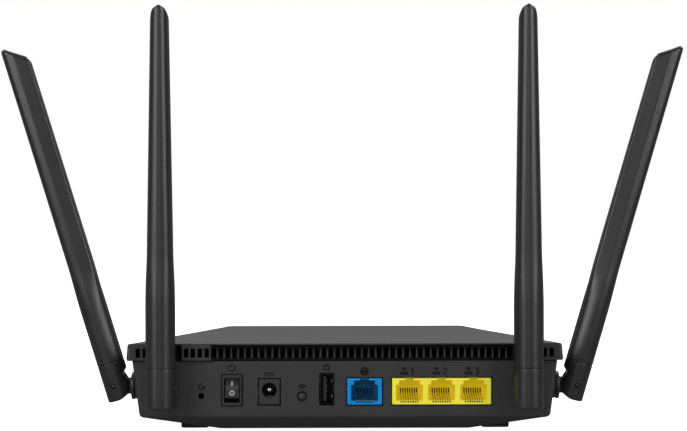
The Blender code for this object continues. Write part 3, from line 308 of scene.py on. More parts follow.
def loft(name, levels, planRadii, levelRadii, finish, planSegments=4, levelSegments=4):
    # rings of corners, one per level: corners are rounded round each ring, then along the levels
    rings = rounded(levels, planRadii, planSegments)
    columns = rings.transpose(1, 0, 2)
    radii = levelRadii(columns) if callable(levelRadii) else levelRadii
    return closedSurface(
        name, rounded(columns, radii, levelSegments, closed=False).transpose(1, 0, 2), finish
    )


def alongAxis(a, b, level, axis):
    # flat coordinates (a, b) and a level along an axis, as points
    a, b, level = np.broadcast_arrays(a, b, level)
    return np.stack({"X": (level, a, b), "Y": (a, level, b), "Z": (a, b, level)}[axis], axis=-1)


def extrude(name, outline, start, end, axis, finish):
    # a flat outline carried along an axis from start to end
    outline = np.asarray(outline, float)
    levels = np.array([start, end], float)[:, None]
    return closedSurface(name, alongAxis(outline[None, :, 0], outline[None, :, 1], levels, axis), finish)


def block(name, low, high, radius, finish, segments=3):
    # a box whose outline in X and Z and whose ends along Y are rounded
    low, high = np.array(low, float), np.array(high, float)
    inset = np.array([radius / 0.45, 0, 0, radius / 0.45])[:, None]
    left, right = low[0] + inset, high[0] - inset
    bottom, top = low[2] + inset, high[2] - inset
    x = np.concatenate([left, right, right, left], axis=1)
    z = np.concatenate([bottom, bottom, top, top], axis=1)
    y = np.array([low[1], low[1], high[1], high[1]])[:, None]
    return loft(name, alongAxis(x, z, y, "Y"), radius, radius, finish, segments, segments)


def rowBounds(places, halfWidth, depths, heights):
    # low and high corners of one box at each place along X
    (near, far), (low, high) = depths, heights
    return [((x - halfWidth, near, low), (x + halfWidth, far, high)) for x in places]


def boxes(name, bounds, finish):
    # plain boxes in one mesh, from arrays of low and high corners
    low, high = np.asarray([b[0] for b in bounds]), np.asarray([b[1] for b in bounds])
    pick = np.array([[i >> 2 & 1, i >> 1 & 1, i & 1] for i in range(8)], bool)
    points = np.where(pick, high[:, None], low[:, None]).reshape(-1, 3)
    sides = [[0, 1, 3, 2], [4, 6, 7, 5], [0, 4, 5, 1], [2, 3, 7, 6], [0, 2, 6, 4], [1, 5, 7, 3]]
    faces = (np.array(sides) + 8 * np.arange(len(low))[:, None, None]).reshape(-1, 4)
    return newPiece(name, points, faces.tolist(), finish)


def revolve(name, profile, centre, axis, finish, sides=48, hollow=False):
    # a profile of (radius, height) turned about an axis
    profile = np.asarray(profile, float)
    angle = np.arange(sides) * 2 * math.pi / sides
    radius, height = profile[:, :1], profile[:, 1:]
    grid = alongAxis(radius * np.cos(angle), radius * np.sin(angle), height, axis) + np.array(centre)
    return closedSurface(name, grid, finish, hollow)


def combine(piece, operation, *tools):
    # Boolean with each tool in turn, kept as the piece's own mesh
    for tool in tools:
        change = piece.modifiers.new(tool.name, "BOOLEAN")
        change.operation = operation
        change.solver = "EXACT"
        change.material_mode = "TRANSFER"
        change.object = tool
    bpy.context.view_layer.update()
    piece.data = bpy.data.meshes.new_from_object(piece.evaluated_get(bpy.context.evaluated_depsgraph_get()))
    piece.modifiers.clear()
    for tool in tools:
        bpy.data.objects.remove(tool, do_unlink=True)
    return piece


def soften(piece, width=0.0, segments=2, angle=30):
    # smooth shading over flat faces that stay flat, with a small round on the sharp edges if asked
    piece.data.shade_smooth()
    piece.data.set_sharp_from_angle(angle=math.radians(angle))
    if width:
        change = piece.modifiers.new("edges", "BEVEL")
        change.width = width
        change.segments = segments
        change.limit_method = "ANGLE"
        change.angle_limit = math.radians(angle)
        change.use_clamp_overlap = True
    change = piece.modifiers.new("normals", "WEIGHTED_NORMAL")
    change.keep_sharp = True
    return piece


def stands(piece, body, slot, *nodes):
    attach(piece, body)
    if nodes:
        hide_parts(*nodes)
    return piece


def sheetOf(piece, thickness):
    change = piece.modifiers.new("thickness", "SOLIDIFY")
    change.thickness = thickness
    change.offset = 0
    return piece

case = {
    "panelY": -0.059,
    "lipY": -0.0608,
    "frontY": 0.0732,
    "middleY": 0.007,
    "halfFlat": 0.008,
    "rearHalf": 0.09485,
    "middleHalf": 0.0984,
    "frontHalf": 0.0625,
    "eave": 0.0024,
    "draft": 0.0032,
    "wall": 0.002,
    "partingZ": 0.031,
}


def casePlan(rear, middle, front):
    # eight corners round the case, from the rear left one; each argument is (half width, y, z),
    # and the middle flats lie either side of their y
    rearHalf, rearY, rearZ = rear
    middleHalf, middleY, middleZ = middle
    frontHalf, frontY, frontZ = front
    near, far = middleY - case["halfFlat"], middleY + case["halfFlat"]
    right = [(rearHalf, rearY, rearZ), (middleHalf, near, middleZ), (middleHalf, far, middleZ)]
    right.append((frontHalf, frontY, frontZ))
    left = [(-x, y, z) for x, y, z in reversed(right)]
    return np.array(right + left)


cover = {
    "rearZ": 0.0385,
    "middleZ": 0.0331,
    "frontZ": 0.0383,
    "sideLean": 0.0006,
    "frontLean": 0.002,
    "frontNarrow": 0.0035,
    "skirt": 0.0042,
    "creaseInset": 0.0014,
    "edgeRadius": 0.00045,
    "sideRadius": 0.0019,
    "cornerRadius": 0.0016,
    "slots": {"count": 61, "pitch": 0.00299, "width": 0.0019, "low": 0.0324, "high": 0.0364},
    "recess": {"left": -0.0557, "right": 0.0712, "depth": 0.0024, "topZ": 0.0379},
    "notch": {"inner": 0.0086, "outer": 0.0064},
    "windows": {"count": 5, "pitch": 0.012, "width": 0.005, "height": 0.0014, "z": 0.0335},
}


def coverRing(inset, drop, edge):
    # one ring of the cover; edge is 0 at the parting line and 1 at the top edge
    c = cover
    rearHalf = case["rearHalf"] - inset - edge * c["sideLean"]
    middleHalf = case["middleHalf"] - inset - edge * c["sideLean"] / 2
    frontHalf = case["frontHalf"] - inset - edge * c["frontNarrow"]
    foot = case["partingZ"]
    height = [foot + edge * (c[key] - drop - foot) for key in ("rearZ", "middleZ", "frontZ")]
    rear = (rearHalf, case["lipY"] + inset, height[0])
    front = (frontHalf, case["frontY"] - inset - edge * c["frontLean"], height[2])
    return casePlan(rear, (middleHalf, case["middleY"], height[1]), front)


def creaseRing(edgeRing, inset):
    # the flat top's outline: its middle points lie on the straight creases between rear and front corners
    ring = edgeRing.copy()
    side = np.sign(ring[:, :1])
    ring[:, :1] -= side * inset * 1.2
    ring[[0, 7], 1] += inset
    ring[[3, 4], 1] -= inset
    for rear, front, middles in ((0, 3, (1, 2)), (7, 4, (6, 5))):
        for i in middles:
            share = (ring[i, 1] - ring[rear, 1]) / (ring[front, 1] - ring[rear, 1])
            ring[i] = ring[rear] + share * (ring[front] - ring[rear])
    return ring


def makeCover():
    c = cover
    outerEdge = coverRing(0.0, 0.0, 1.0)
    innerEdge = coverRing(c["skirt"], case["wall"], 1.0)
    levels = np.array([
        creaseRing(outerEdge, c["creaseInset"]),
        outerEdge,
        coverRing(0.0, 0.0, 0.0),
        coverRing(c["skirt"], 0.0, 0.0),
        innerEdge,
        creaseRing(innerEdge, c["creaseInset"]),
    ])

    def radii(columns):
        # crisp along the rear lip, rounder down the sides
        away = np.clip((columns[:, 2, 1] - case["lipY"] - 0.0002) / 0.0016, 0, 1)[:, None]
        crisp = np.array([0, c["edgeRadius"], c["edgeRadius"] * 0.7, 0.0002, 0.0002, 0])
        round_ = np.array([0, c["sideRadius"], c["sideRadius"] * 0.75, 0.0003, 0.0003, 0])
        return crisp + away * (round_ - crisp)

    planRadii = np.array([1, 0.6, 0.6, 1.4, 1.4, 0.6, 0.6, 1]) * c["cornerRadius"]
    shell = loft("cover_shell", levels, planRadii, radii, coverBlack, 6, 5)
    recess, slots, windows = c["recess"], c["slots"], c["windows"]
    lip, depth = case["lipY"], recess["depth"]
    outline = [
        (recess["left"] - depth, lip - depth),
        (recess["right"] + depth, lip - depth),
        (recess["right"] + depth, lip),
        (recess["right"], lip + depth),
        (recess["left"], lip + depth),
        (recess["left"] - depth, lip),
    ]
    # the recess, the slots and the lip's notches are cut with the painted-shade finish, which their cut
    # faces take
    recessTool = extrude("recessTool", outline, case["partingZ"] - 0.002, recess["topZ"], "Z", recessPaintedShade)
    middle = spaced(slots["count"], slots["pitch"])
    depths = (lip - 0.003, lip + c["skirt"] + 0.001)
    bounds = rowBounds(middle, slots["width"] / 2, depths, (slots["low"], slots["high"]))
    slotTool = boxes("slotTool", bounds, recessPaintedShade)
    spots = spaced(windows["count"], windows["pitch"])
    rise, front = windows["height"] / 2, case["frontY"]
    heights = (windows["z"] - rise, windows["z"] + rise)
    bounds = rowBounds(spots, windows["width"] / 2, (front - 0.009, front + 0.002), heights)
    notches, foot, place = [], case["partingZ"] - 0.002, panel["antenna"]["x"]
    for side in (-1, 1):
        edges = sorted([side * (place - c["notch"]["inner"]), side * (place + c["notch"]["outer"])])
        notches.append(((edges[0], lip - 0.002, foot), (edges[1], lip + depth, recess["topZ"])))
    combine(shell, "DIFFERENCE", recessTool, boxes("notchTool", notches, recessPaintedShade))
    combine(shell, "DIFFERENCE", slotTool, boxes("windowTool", bounds, caseBlack))
    stands(soften(shell), "case", "case_plastic", "top_cover")
    return middle


def makeRibs(middle):
    # upright ribs between the slots: half-ellipse section, swept up with a slight lean towards the top
    recess, slots = cover["recess"], cover["slots"]
    ribs = (middle[1:] + middle[:-1]) / 2
    ribs = ribs[(ribs > recess["left"] + 0.0003) & (ribs < recess["right"] - 0.0003)]
    halfWidth = 0.00046
    back = case["lipY"] + recess["depth"] + 0.0002
    angle = np.linspace(math.pi, 2 * math.pi, 9)
    across = halfWidth * np.cos(angle)
    height = np.array([slots["low"] - 0.0004, slots["low"], slots["low"] + 0.0004, 0.0345, slots["high"]])
    proud = np.array([0.0012, 0.00195, 0.0021, 0.0018, 0.0013])
    depths = back + proud[:, None] * np.sin(angle)
    sections = [alongAxis(x + across[None], depths, height[:, None], "Z") for x in ribs]
    rows, columns = sections[0].shape[:2]
    index = np.arange(rows * columns).reshape(rows, columns)
    quads = ringQuads(index).tolist()
    shape = quads + [index[0, ::-1].tolist(), index[-1].tolist()]
    faces = [[i + k * rows * columns for i in face] for k in range(len(sections)) for face in shape]
    # the ribs take the finish with the painted highlight at their feet
    piece = newPiece("grille_ribs", np.concatenate(sections).reshape(-1, 3), faces, ribBlackPaintedLight)
    stands(soften(piece, angle=50), "case", "case_plastic")


base = {
    "topZ": 0.0307,
    "footZ": 0.0064,
    "floorZ": 0.0009,
    "keelHalf": 0.05485,
    "keelFrontHalf": 0.045,
    "keelRearSet": 0.006,
    "keelFrontSet": 0.02,
    "footRadius": 0.0016,
    "cornerRadius": 0.0016,
    "hole": 0.0005,
    "groove": 0.0009,
}


def baseRings(inset):
    b, frontY = base, case["frontY"] - case["eave"]
    lean = case["eave"] + case["draft"] + inset
    flat = case["middleY"]
    rim = casePlan(
        (case["rearHalf"] - case["eave"] - inset, case["panelY"] + inset, b["topZ"]),
        (case["middleHalf"] - case["eave"] - inset, flat, b["topZ"]),
        (case["frontHalf"] - case["eave"] - inset, frontY - inset, b["topZ"]),
    )
    foot = casePlan(
        (case["rearHalf"] - lean, case["panelY"] + inset, b["footZ"] + inset),
        (case["middleHalf"] - lean, flat, b["footZ"] + inset),
        (case["frontHalf"] - lean, frontY - case["draft"] - inset, b["footZ"] + inset),
    )
    half, floorZ = b["keelHalf"] - inset / 2, b["floorZ"] + inset
    keel = casePlan(
        (half, case["panelY"] + b["keelRearSet"] + inset / 2, floorZ),
        (half, flat, floorZ),
        (b["keelFrontHalf"] - inset / 2, frontY - case["draft"] - b["keelFrontSet"] - inset / 2, floorZ),
    )
    return [keel, foot, rim]


panel = {
    "reset": {"x": -0.0624, "z": 0.0156, "hole": 0.0027, "plunger": 0.0009},
    "switch": {"x": -0.0490, "z": 0.01815, "width": 0.0084, "height": 0.0133},
    "dc": {"x": -0.0328, "z": 0.01735, "width": 0.0090, "height": 0.0110, "bore": 0.0061, "pin": 0.0021},
    "wps": {"x": -0.0186, "z": 0.0154, "hole": 0.0045, "cap": 0.0031},
    "usb": {"x": -0.00785, "z": 0.0185, "width": 0.0056, "height": 0.0131},
    "wan": {"x": 0.0086, "z": 0.0174, "width": 0.0152, "height": 0.0115},
    "lan": {"x": 0.0421, "z": 0.0174, "width": 0.0431, "height": 0.0115, "pitch": 0.01397},
    "antenna": {"x": 0.0792, "z": 0.0175, "shaft": 0.0037},
}


def disc(x, z, radius, sides=32):
    angle = np.arange(sides) * 2 * math.pi / sides
    return np.stack([x + radius * np.cos(angle), z + radius * np.sin(angle)], axis=1)


def rectangle(x, z, width, height, radius=0.0003):
    half, rise = width / 2, height / 2
    corners = [(x - half, z - rise), (x + half, z - rise), (x + half, z + rise), (x - half, z + rise)]
    return rounded(corners, radius, 3)


def makeBase():
    b, wall = base, case["wall"]
    outer, inner = baseRings(0.0), baseRings(wall)
    inner[2][:, 2] = b["topZ"]
    levels = np.array(outer + inner[::-1])
    planRadii = np.array([1, 0.6, 0.6, 1.4, 1.4, 0.6, 0.6, 1]) * b["cornerRadius"]
    levelRadii = np.array([0, b["footRadius"], 0.00025, 0.00025, 0.0004, 0])
    shell = loft("base_housing", levels, planRadii, levelRadii, caseBlack, 5, 5)
    p, start, end = panel, case["panelY"] - wall, case["panelY"] + 2 * wall
    switch = p["switch"]
    groove = rectangle(
        switch["x"], switch["z"], switch["width"] + b["groove"], switch["height"] + b["groove"]
    )
    # the switch's groove and the button holes are lined with painted shade
    tools = [extrude("grooveTool", groove, start, case["panelY"] + b["groove"], "Y", cavityPaintedShade)]
    for name in ("reset", "wps"):
        tools.append(extrude(
            f"{name}Tool", disc(p[name]["x"], p[name]["z"], p[name]["hole"] / 2), start, end, "Y", cavityPaintedShade
        ))
    outlines = [
        disc(p["antenna"]["x"], p["antenna"]["z"], p["antenna"]["shaft"]),
        disc(-p["antenna"]["x"], p["antenna"]["z"], p["antenna"]["shaft"]),
        rectangle(switch["x"], switch["z"], switch["width"] - 0.0002, switch["height"] - 0.0002),
    ]
    for name in ("dc", "usb", "wan", "lan"):
        f = p[name]
        outlines.append(rectangle(f["x"], f["z"], f["width"] + 2 * b["hole"], f["height"] + 2 * b["hole"]))
    tools += [
        extrude(f"hole{i}", outline, start, end, "Y", caseBlack) for i, outline in enumerate(outlines)
    ]
    tools += floorTools(wall)
    combine(shell, "DIFFERENCE", *tools)
    stands(soften(shell), "case", "case_plastic", "base_shell")


underside = {
    "keyhole": {"x": 0.040, "y": 0.060, "radius": 0.0035, "slot": 0.0018, "run": 0.008},
    "label": {"y": 0.024, "width": 0.070, "length": 0.024, "depth": 0.0007},
    "airSlots": {"count": 9, "pitch": 0.005, "width": 0.002, "length": 0.018, "rows": (0.046, 0.072)},
    "screws": ((0.0819, 0.040), (0.050, 0.1185)),
    "screwHole": 0.0031,
    "screwLedge": 0.0085,
}


def floorTools(wall):
    # cutters for the wall-screw keyholes, the floor's air slots, the label's pocket and the screw wells
    u, floorZ = underside, base["floorZ"]
    low, high = floorZ - 0.003, floorZ + 2 * wall
    tools = []
    k = u["keyhole"]
    for side in (-1, 1):
        x, y = side * k["x"], case["panelY"] + k["y"]
        drop = math.asin(k["slot"] / k["radius"])
        round_ = np.linspace(math.pi / 2 + drop, 2.5 * math.pi - drop, 20)
        end = np.linspace(0, math.pi, 9)
        outline = np.concatenate([
            np.stack([x + k["radius"] * np.cos(round_), y + k["radius"] * np.sin(round_)], axis=1),
            np.stack([x + k["slot"] * np.cos(end), y + k["run"] + k["slot"] * np.sin(end)], axis=1),
        ])
        tools.append(extrude("keyholeTool", outline, low, high, "Z", caseBlack))
    s = u["airSlots"]
    for row in s["rows"]:
        for x in spaced(s["count"], s["pitch"]):
            middle = (x, case["panelY"] + row + s["length"] / 2)
            outline = rectangle(*middle, s["width"], s["length"], s["width"] * 0.44)
            tools.append(extrude("airTool", outline, low, high, "Z", caseBlack))
    label = u["label"]
    outline = rectangle(
        0, case["panelY"] + label["y"], label["width"] + 0.0006, label["length"] + 0.0006, 0.001
    )
    tools.append(extrude("pocketTool", outline, low, floorZ + label["depth"], "Z", caseBlack))
    for side in (-1, 1):
        for x, y in u["screws"]:
            outline = disc(side * x, case["panelY"] + y, u["screwHole"])
            tools.append(extrude("wellTool", outline, -wall, u["screwLedge"], "Z", caseBlack))
    return tools


def makeFeet():
    # a rubber block with rounded sides under each corner of the keel
    for row in ("rear", "front"):
        for side in ("left", "right"):
            node = f"foot_{row}_{side}"
            low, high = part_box(node)
            width, length = (high.x - low.x) / 2, (high.y - low.y) / 2
            centre = ((low.x + high.x) / 2, (low.y + high.y) / 2)
            inset = np.array([0.0022, 0.0, 0.0])[:, None]
            cornersX = np.array([-1, 1, 1, -1]) * (width - inset)
            cornersY = np.array([-1, -1, 1, 1]) * (length - inset)
            z = np.array([0.0, 0.0, high.z - 0.0002])[:, None]
            levels = alongAxis(centre[0] + cornersX, centre[1] + cornersY, z, "Z")
            pad = loft(f"pad_{row}_{side}", levels, 0.0018, [0, 0.0009, 0], rubberBlack, 5, 4)
            combine(pad, "DIFFERENCE", baseSlopeTool())
            stands(soften(pad), "case", "rubber", node)


def baseSlopeTool():
    # the base's outer form, lowered by a hair, that the feet are trimmed to
    levels = np.array(baseRings(0.0))
    levels[:, :, 2] -= 0.00015
    return loft("slopeTool", levels, 0.001, [0, 0.001, 0], rubberBlack, 2, 2)


middle = makeCover()
makeRibs(middle)
makeBase()
makeFeet()
print("case made")

def fittingBlock(name, fitting, start, end, radius, finish, inset=0.0):
    # a rounded block of a fitting's width and height, less an inset, between two depths behind the panel
    half, rise = fitting["width"] / 2 - inset, fitting["height"] / 2 - inset
    low = (fitting["x"] - half, case["panelY"] + start, fitting["z"] - rise)
    high = (fitting["x"] + half, case["panelY"] + end, fitting["z"] + rise)
    return block(name, low, high, radius, finish)


def stripQuads(rows, columns):
    index = np.arange(rows * columns).reshape(rows, columns)
    quads = np.stack([index[:-1, :-1], index[:-1, 1:], index[1:, 1:], index[1:, :-1]], axis=-1)
    return quads.reshape(-1, 4).tolist()


def newStrip(name, a, b, level, axis, finish):
    # an open sheet over a grid of flat coordinates and levels
    grid = alongAxis(a, b, level, axis)
    return newPiece(name, grid.reshape(-1, 3), stripQuads(*grid.shape[:2]), finish)


def makeSwitch():
    s, y = panel["switch"], case["panelY"]
    rocker = {"width": 0.0068, "height": 0.0108, "pivot": 0.0034, "tilt": 12}
    rocker.update({"half": 0.0043, "face": -0.0046, "dish": 0.0012})
    bezel = fittingBlock("switch_bezel", s, -0.0011, -0.0003, 0.0003, rockerBlack)
    combine(bezel, "UNION", fittingBlock("body", s, -0.0006, 0.011, 0.0003, rockerBlack, 0.0006))
    mouth = rectangle(s["x"], s["z"], rocker["width"], rocker["height"], 0.0003)
    # the bezel's mouth is lined with painted shade
    combine(bezel, "DIFFERENCE", extrude("mouthTool", mouth, y - 0.005, y + 0.009, "Y", cavityPaintedShade))
    stands(soften(bezel), "case", "switch_plastic", "power_switch_body")

    def face(t):
        # the rocker's dished face: how far in front of its pin at height t
        return rocker["face"] + rocker["dish"] * (1 - (t / rocker["half"]) ** 2)

    t = np.linspace(-rocker["half"], rocker["half"], 17)
    outline = [(0.0026, -0.0026), (0.0, -0.004), *zip(face(t), t), (0.0, 0.004), (0.0026, 0.0026)]
    halfWidth = rocker["width"] / 2 - hairGap
    paddle = extrude("rocker_paddle", outline, -halfWidth, halfWidth, "X", rockerBlack)
    bar = rectangle(0, 0.00205, 0.00075, 0.002, 0.0002)
    ring = [disc(0, -0.00205, radius) for radius in (0.00118, 0.00058)]
    marks = [np.stack([bar[: len(bar) // 2], bar[: len(bar) // 2 - 1 : -1]]), np.stack(ring)]
    sheets = []
    for number, mark in enumerate(marks):
        x, height = mark[..., 0], mark[..., 1]
        points = np.stack([x, face(height) - 0.00001, height], axis=-1)
        columns = points.shape[1]
        quads = ringQuads(np.arange(2 * columns).reshape(2, columns))
        quads = quads if number else quads[:-1]
        flat = points.reshape(-1, 3)
        sheets.append(newPiece(f"rocker_mark_{number + 1}", flat, quads.tolist(), markWhite))
    pivot = Matrix.Translation((s["x"], y + rocker["pivot"], s["z"]))
    place = pivot @ Matrix.Rotation(math.radians(-rocker["tilt"]), 4, "X")
    for piece in [paddle, *sheets]:
        piece.data.transform(place)
    stands(soften(paddle, 0.0002), "rocker", "switch_plastic", "power_rocker")
    for piece in sheets:
        stands(sheetOf(piece, 0.00006), "rocker", "label")


def makeDcInlet():
    d, y = panel["dc"], case["panelY"]
    boreZ, radius, chamfer = d["z"] + 0.0007, d["bore"] / 2, 0.0003
    body = fittingBlock("dc_inlet", d, 0.0, 0.014, 0.00025, caseBlack)
    profile = [(radius + chamfer, -0.001), (radius + chamfer, 0.0), (radius, chamfer), (radius, 0.0105)]
    # the bore and the spring's slot are lined with painted shade
    bore = revolve("boreTool", profile, (d["x"], y, boreZ), "Y", cavityPaintedShade)
    bounds = rowBounds([d["x"]], 0.0013, (y + 0.0035, y + 0.0105), (boreZ - 0.0036, boreZ - 0.0015))
    combine(body, "DIFFERENCE", bore, boxes("slotTool", bounds, cavityPaintedShade))
    stands(soften(body), "case", "switch_plastic", "dc_jack_body")
    pinRadius = d["pin"] / 2
    profile = [
        (0.0001, 0.0008), (0.0005, 0.00085), (0.0008, 0.00105), (pinRadius, 0.0014), (pinRadius, 0.0104)
    ]
    pin = revolve("dc_pin", profile, (d["x"], y, boreZ), "Y", pinSteel)
    stands(soften(pin), "case", "steel", "dc_jack_pin")
    collar = [(0.0011, 0.0082), (0.0016, 0.0080), (0.0019, 0.0084), (0.0019, 0.0104), (0.0011, 0.0104)]
    ring = revolve("dc_pin_collar", collar, (d["x"], y, boreZ), "Y", switchGrey, hollow=True)
    stands(soften(ring), "case", "switch_plastic")
    # the spring: a strip that dips towards the pin and rises again
    along = np.linspace(0, 1, 17)
    rise = 0.0009 * np.sin(math.pi * along) ** 2
    path = np.stack([y + 0.0022 + 0.0098 * along, boreZ - 0.0027 + rise], axis=1)
    across = d["x"] + np.array([[-0.001, 0.001]])
    spring = newStrip("dc_spring", across, path[:, :1], path[:, 1:], "Z", pinSteel)
    stands(sheetOf(spring, 0.00025), "case", "steel", "dc_jack_spring")


def makeButtons():
    w, r, y = panel["wps"], panel["reset"], case["panelY"]
    cap = w["cap"] / 2
    profile = [
        (0.0001, -0.00035), (cap - 0.0005, -0.0004), (cap - 0.0001, -0.00025), (cap, 0.0001), (cap, 0.0023)
    ]
    profile += [(cap + 0.0012, 0.0023), (cap + 0.0012, 0.0033), (cap, 0.0033), (cap, 0.0078)]
    button = revolve("pairing_button", profile, (w["x"], y, w["z"]), "Y", caseBlack)
    stands(soften(button), "wps", "switch_plastic", "wps_button")
    radius = r["plunger"]
    profile = [(0.0001, 0.0019), (radius - 0.0002, 0.00192), (radius, 0.0021), (radius, 0.0023)]
    profile += [(0.0021, 0.0023), (0.0021, 0.0033), (radius, 0.0033), (radius, 0.0079)]
    plunger = revolve("reset_button", profile, (r["x"], y, r["z"]), "Y", legendInk)
    stands(soften(plunger), "reset", "switch_plastic", "reset_plunger")


def makeUsb():
    u, y, wall, depth = panel["usb"], case["panelY"], 0.0004, 0.0135
    half = u["width"] / 2
    # the shell's near-black metal is painted shade
    shell = fittingBlock("usb_housing", u, 0.0, depth, 0.0004, shellNickelPaintedShade)
    inside = rectangle(u["x"], u["z"], u["width"] - 2 * wall, u["height"] - 2 * wall, 0.0004)
    combine(
        shell, "DIFFERENCE", extrude("insideTool", inside, y - 0.001, y + depth - wall, "Y", shellNickelPaintedShade)
    )
    stands(soften(shell, 0.0001), "case", "tin", "usb_shell")
    blade = {"x": u["x"] - 0.0009, "z": u["z"], "width": 0.0016, "height": 0.0109}
    tongueX, clear = blade["x"], wall + hairGap
    tongue = fittingBlock("usb_blade", blade, 0.0013, 0.0118, 0.00025, tonguePlastic)
    # the tongue's root, deep in the port, takes painted shade
    combine(tongue, "UNION", fittingBlock("root", u, 0.0108, depth - clear, 0.0002, cavityPaintedShade, clear))
    stands(soften(tongue), "case", "dark_insulator", "usb_tongue")
    # four gold strips along the blade, and the shell's two springs, each a strip bowed inwards
    along = np.linspace(0, 1, 13)
    strips = []
    for number, offset in enumerate((-0.0035, -0.001, 0.001, 0.0035)):
        path = np.stack(
            [tongueX + 0.00088 + 0.00025 * np.sin(math.pi * along) ** 2, y + 0.002 + 0.0085 * along], axis=1
        )
        strips.append((f"usb_strip_{number + 1}", path, u["z"] + offset + np.array([[-0.0005, 0.0005]])))
    for number, offset in enumerate((-0.0033, 0.0031)):
        bow = 0.0009 * np.sin(math.pi * along) ** 2
        path = np.stack([u["x"] + half - wall - 0.0002 - bow, y + 0.0012 + 0.006 * along], axis=1)
        strips.append((f"usb_spring_{number + 1}", path, u["z"] + offset + np.array([[-0.0008, 0.0008]])))
    for name, path, across in strips:
        strip = newStrip(name, path[:, :1], path[:, 1:], across, "Z", springGold)
        strip.data.shade_smooth()
        stands(sheetOf(strip, 0.00015), "case", "gold")


jack = {
    "depth": 0.021,
    "portDepth": 0.012,
    "bodyHalf": 0.00585,
    "lowZ": 0.01335,
    "highZ": 0.0203,
    "stepHalf": 0.00455,
    "stepZ": 0.0222,
    "latchHalf": 0.00195,
    "wellLow": 0.0157,
    "wellHigh": 0.0179,
    "pins": 8,
    "pitch": 0.00102,
}


def portOutline(x):
    # the plug's body with a step over it for the latch
    j = jack
    right = [(j["bodyHalf"], j["lowZ"]), (j["bodyHalf"], j["highZ"]), (j["stepHalf"], j["highZ"])]
    right += [(j["stepHalf"], j["stepZ"])]
    left = [(-dx, z) for dx, z in reversed(right)]
    return rounded([(x + dx, z) for dx, z in right + left], 0.0002, 2)


def makeJack(name, body, ports, finish, inside, slot):
    j, y = jack, case["panelY"]
    housing = fittingBlock(f"{name}_socket", body, 0.0, j["depth"], 0.0004, finish)
    topZ = body["z"] + body["height"] / 2
    row = spaced(j["pins"], j["pitch"])
    back = y + j["portDepth"]
    ports, wires = list(ports), [pin for x in ports for pin in x + row]
    front, below = y - 0.001, j["lowZ"] - 0.0001
    # the ports' and latch slots' cut faces take the inside finish: painted shade and a painted glow
    tools = [extrude("portTool", portOutline(x), front, back, "Y", inside) for x in ports]
    # the latch's slots, a notch in the lower rim for each wire, and a well in the back wall behind it; the
    # notches and wells are lined with painted shade
    latches = rowBounds(ports, j["latchHalf"], (front, y + 0.0026), (j["stepZ"] - 0.0003, topZ + 0.001))
    notches = rowBounds(wires, 0.0003, (front, y + 0.0016), (below - 0.0007, below))
    wells = rowBounds(wires, 0.00027, (back - 0.0005, back + 0.0025), (j["wellLow"], j["wellHigh"]))
    combine(housing, "DIFFERENCE", *tools)
    combine(housing, "DIFFERENCE", boxes("latchTool", latches, inside))
    dark = [boxes("notchTool", notches, cavityPaintedShade), boxes("wellTool", wells, cavityPaintedShade)]
    combine(housing, "DIFFERENCE", *dark)
    stands(soften(housing), "case", slot, f"{name}_jack" if name == "wan" else f"{name}_jack_block")
    # each wire rolls over the lower rim, then slopes up and back to its well
    path = rounded([
        (y + 0.0016, j["lowZ"] - 0.0006),
        (y + 0.0004, j["lowZ"] - 0.0001),
        (y + 0.0009, j["lowZ"] + 0.00055),
        (y + 0.0030, j["lowZ"] + 0.0007),
        (y + 0.0108, j["lowZ"] + 0.0023),
        (y + 0.0121, j["lowZ"] + 0.0024),
    ], 0.0008, 5, closed=False)
    across = np.array([[-0.00014, 0.00014]])
    grids = [alongAxis(pin + across, path[:, :1], path[:, 1:], "Z") for pin in wires]
    quads = np.array(stripQuads(*grids[0].shape[:2]))
    count = grids[0].shape[0] * 2
    faces = (quads + count * np.arange(len(grids))[:, None, None]).reshape(-1, 4).tolist()
    # the wires' brown is gold with painted shade
    comb = newPiece(f"{name}_wires", np.concatenate(grids).reshape(-1, 3), faces, wireGoldPaintedShade)
    comb.data.shade_smooth()
    stands(sheetOf(comb, 0.00016), "case", "gold", f"{name}_contacts")


def ribbon(path, width, closed=False):
    # a flat strip along a path in the panel's plane, half its width to each side of the path's normal
    path = np.asarray(path, float)
    if closed:
        tangent = np.roll(path, -1, axis=0) - np.roll(path, 1, axis=0)
    else:
        tangent = np.gradient(path, axis=0)
    tangent /= np.linalg.norm(tangent, axis=1, keepdims=True) + 1e-12
    normal = np.stack([-tangent[:, 1], tangent[:, 0]], axis=1) * width / 2
    sides = np.stack([path + normal, path - normal], axis=1)
    return np.concatenate([sides, sides[:1]]) if closed else sides


def arc(x, z, radiusX, radiusZ, first, last, count=20):
    angle = np.radians(np.linspace(first, last, count))
    return np.stack([x + radiusX * np.cos(angle), z + radiusZ * np.sin(angle)], axis=1)


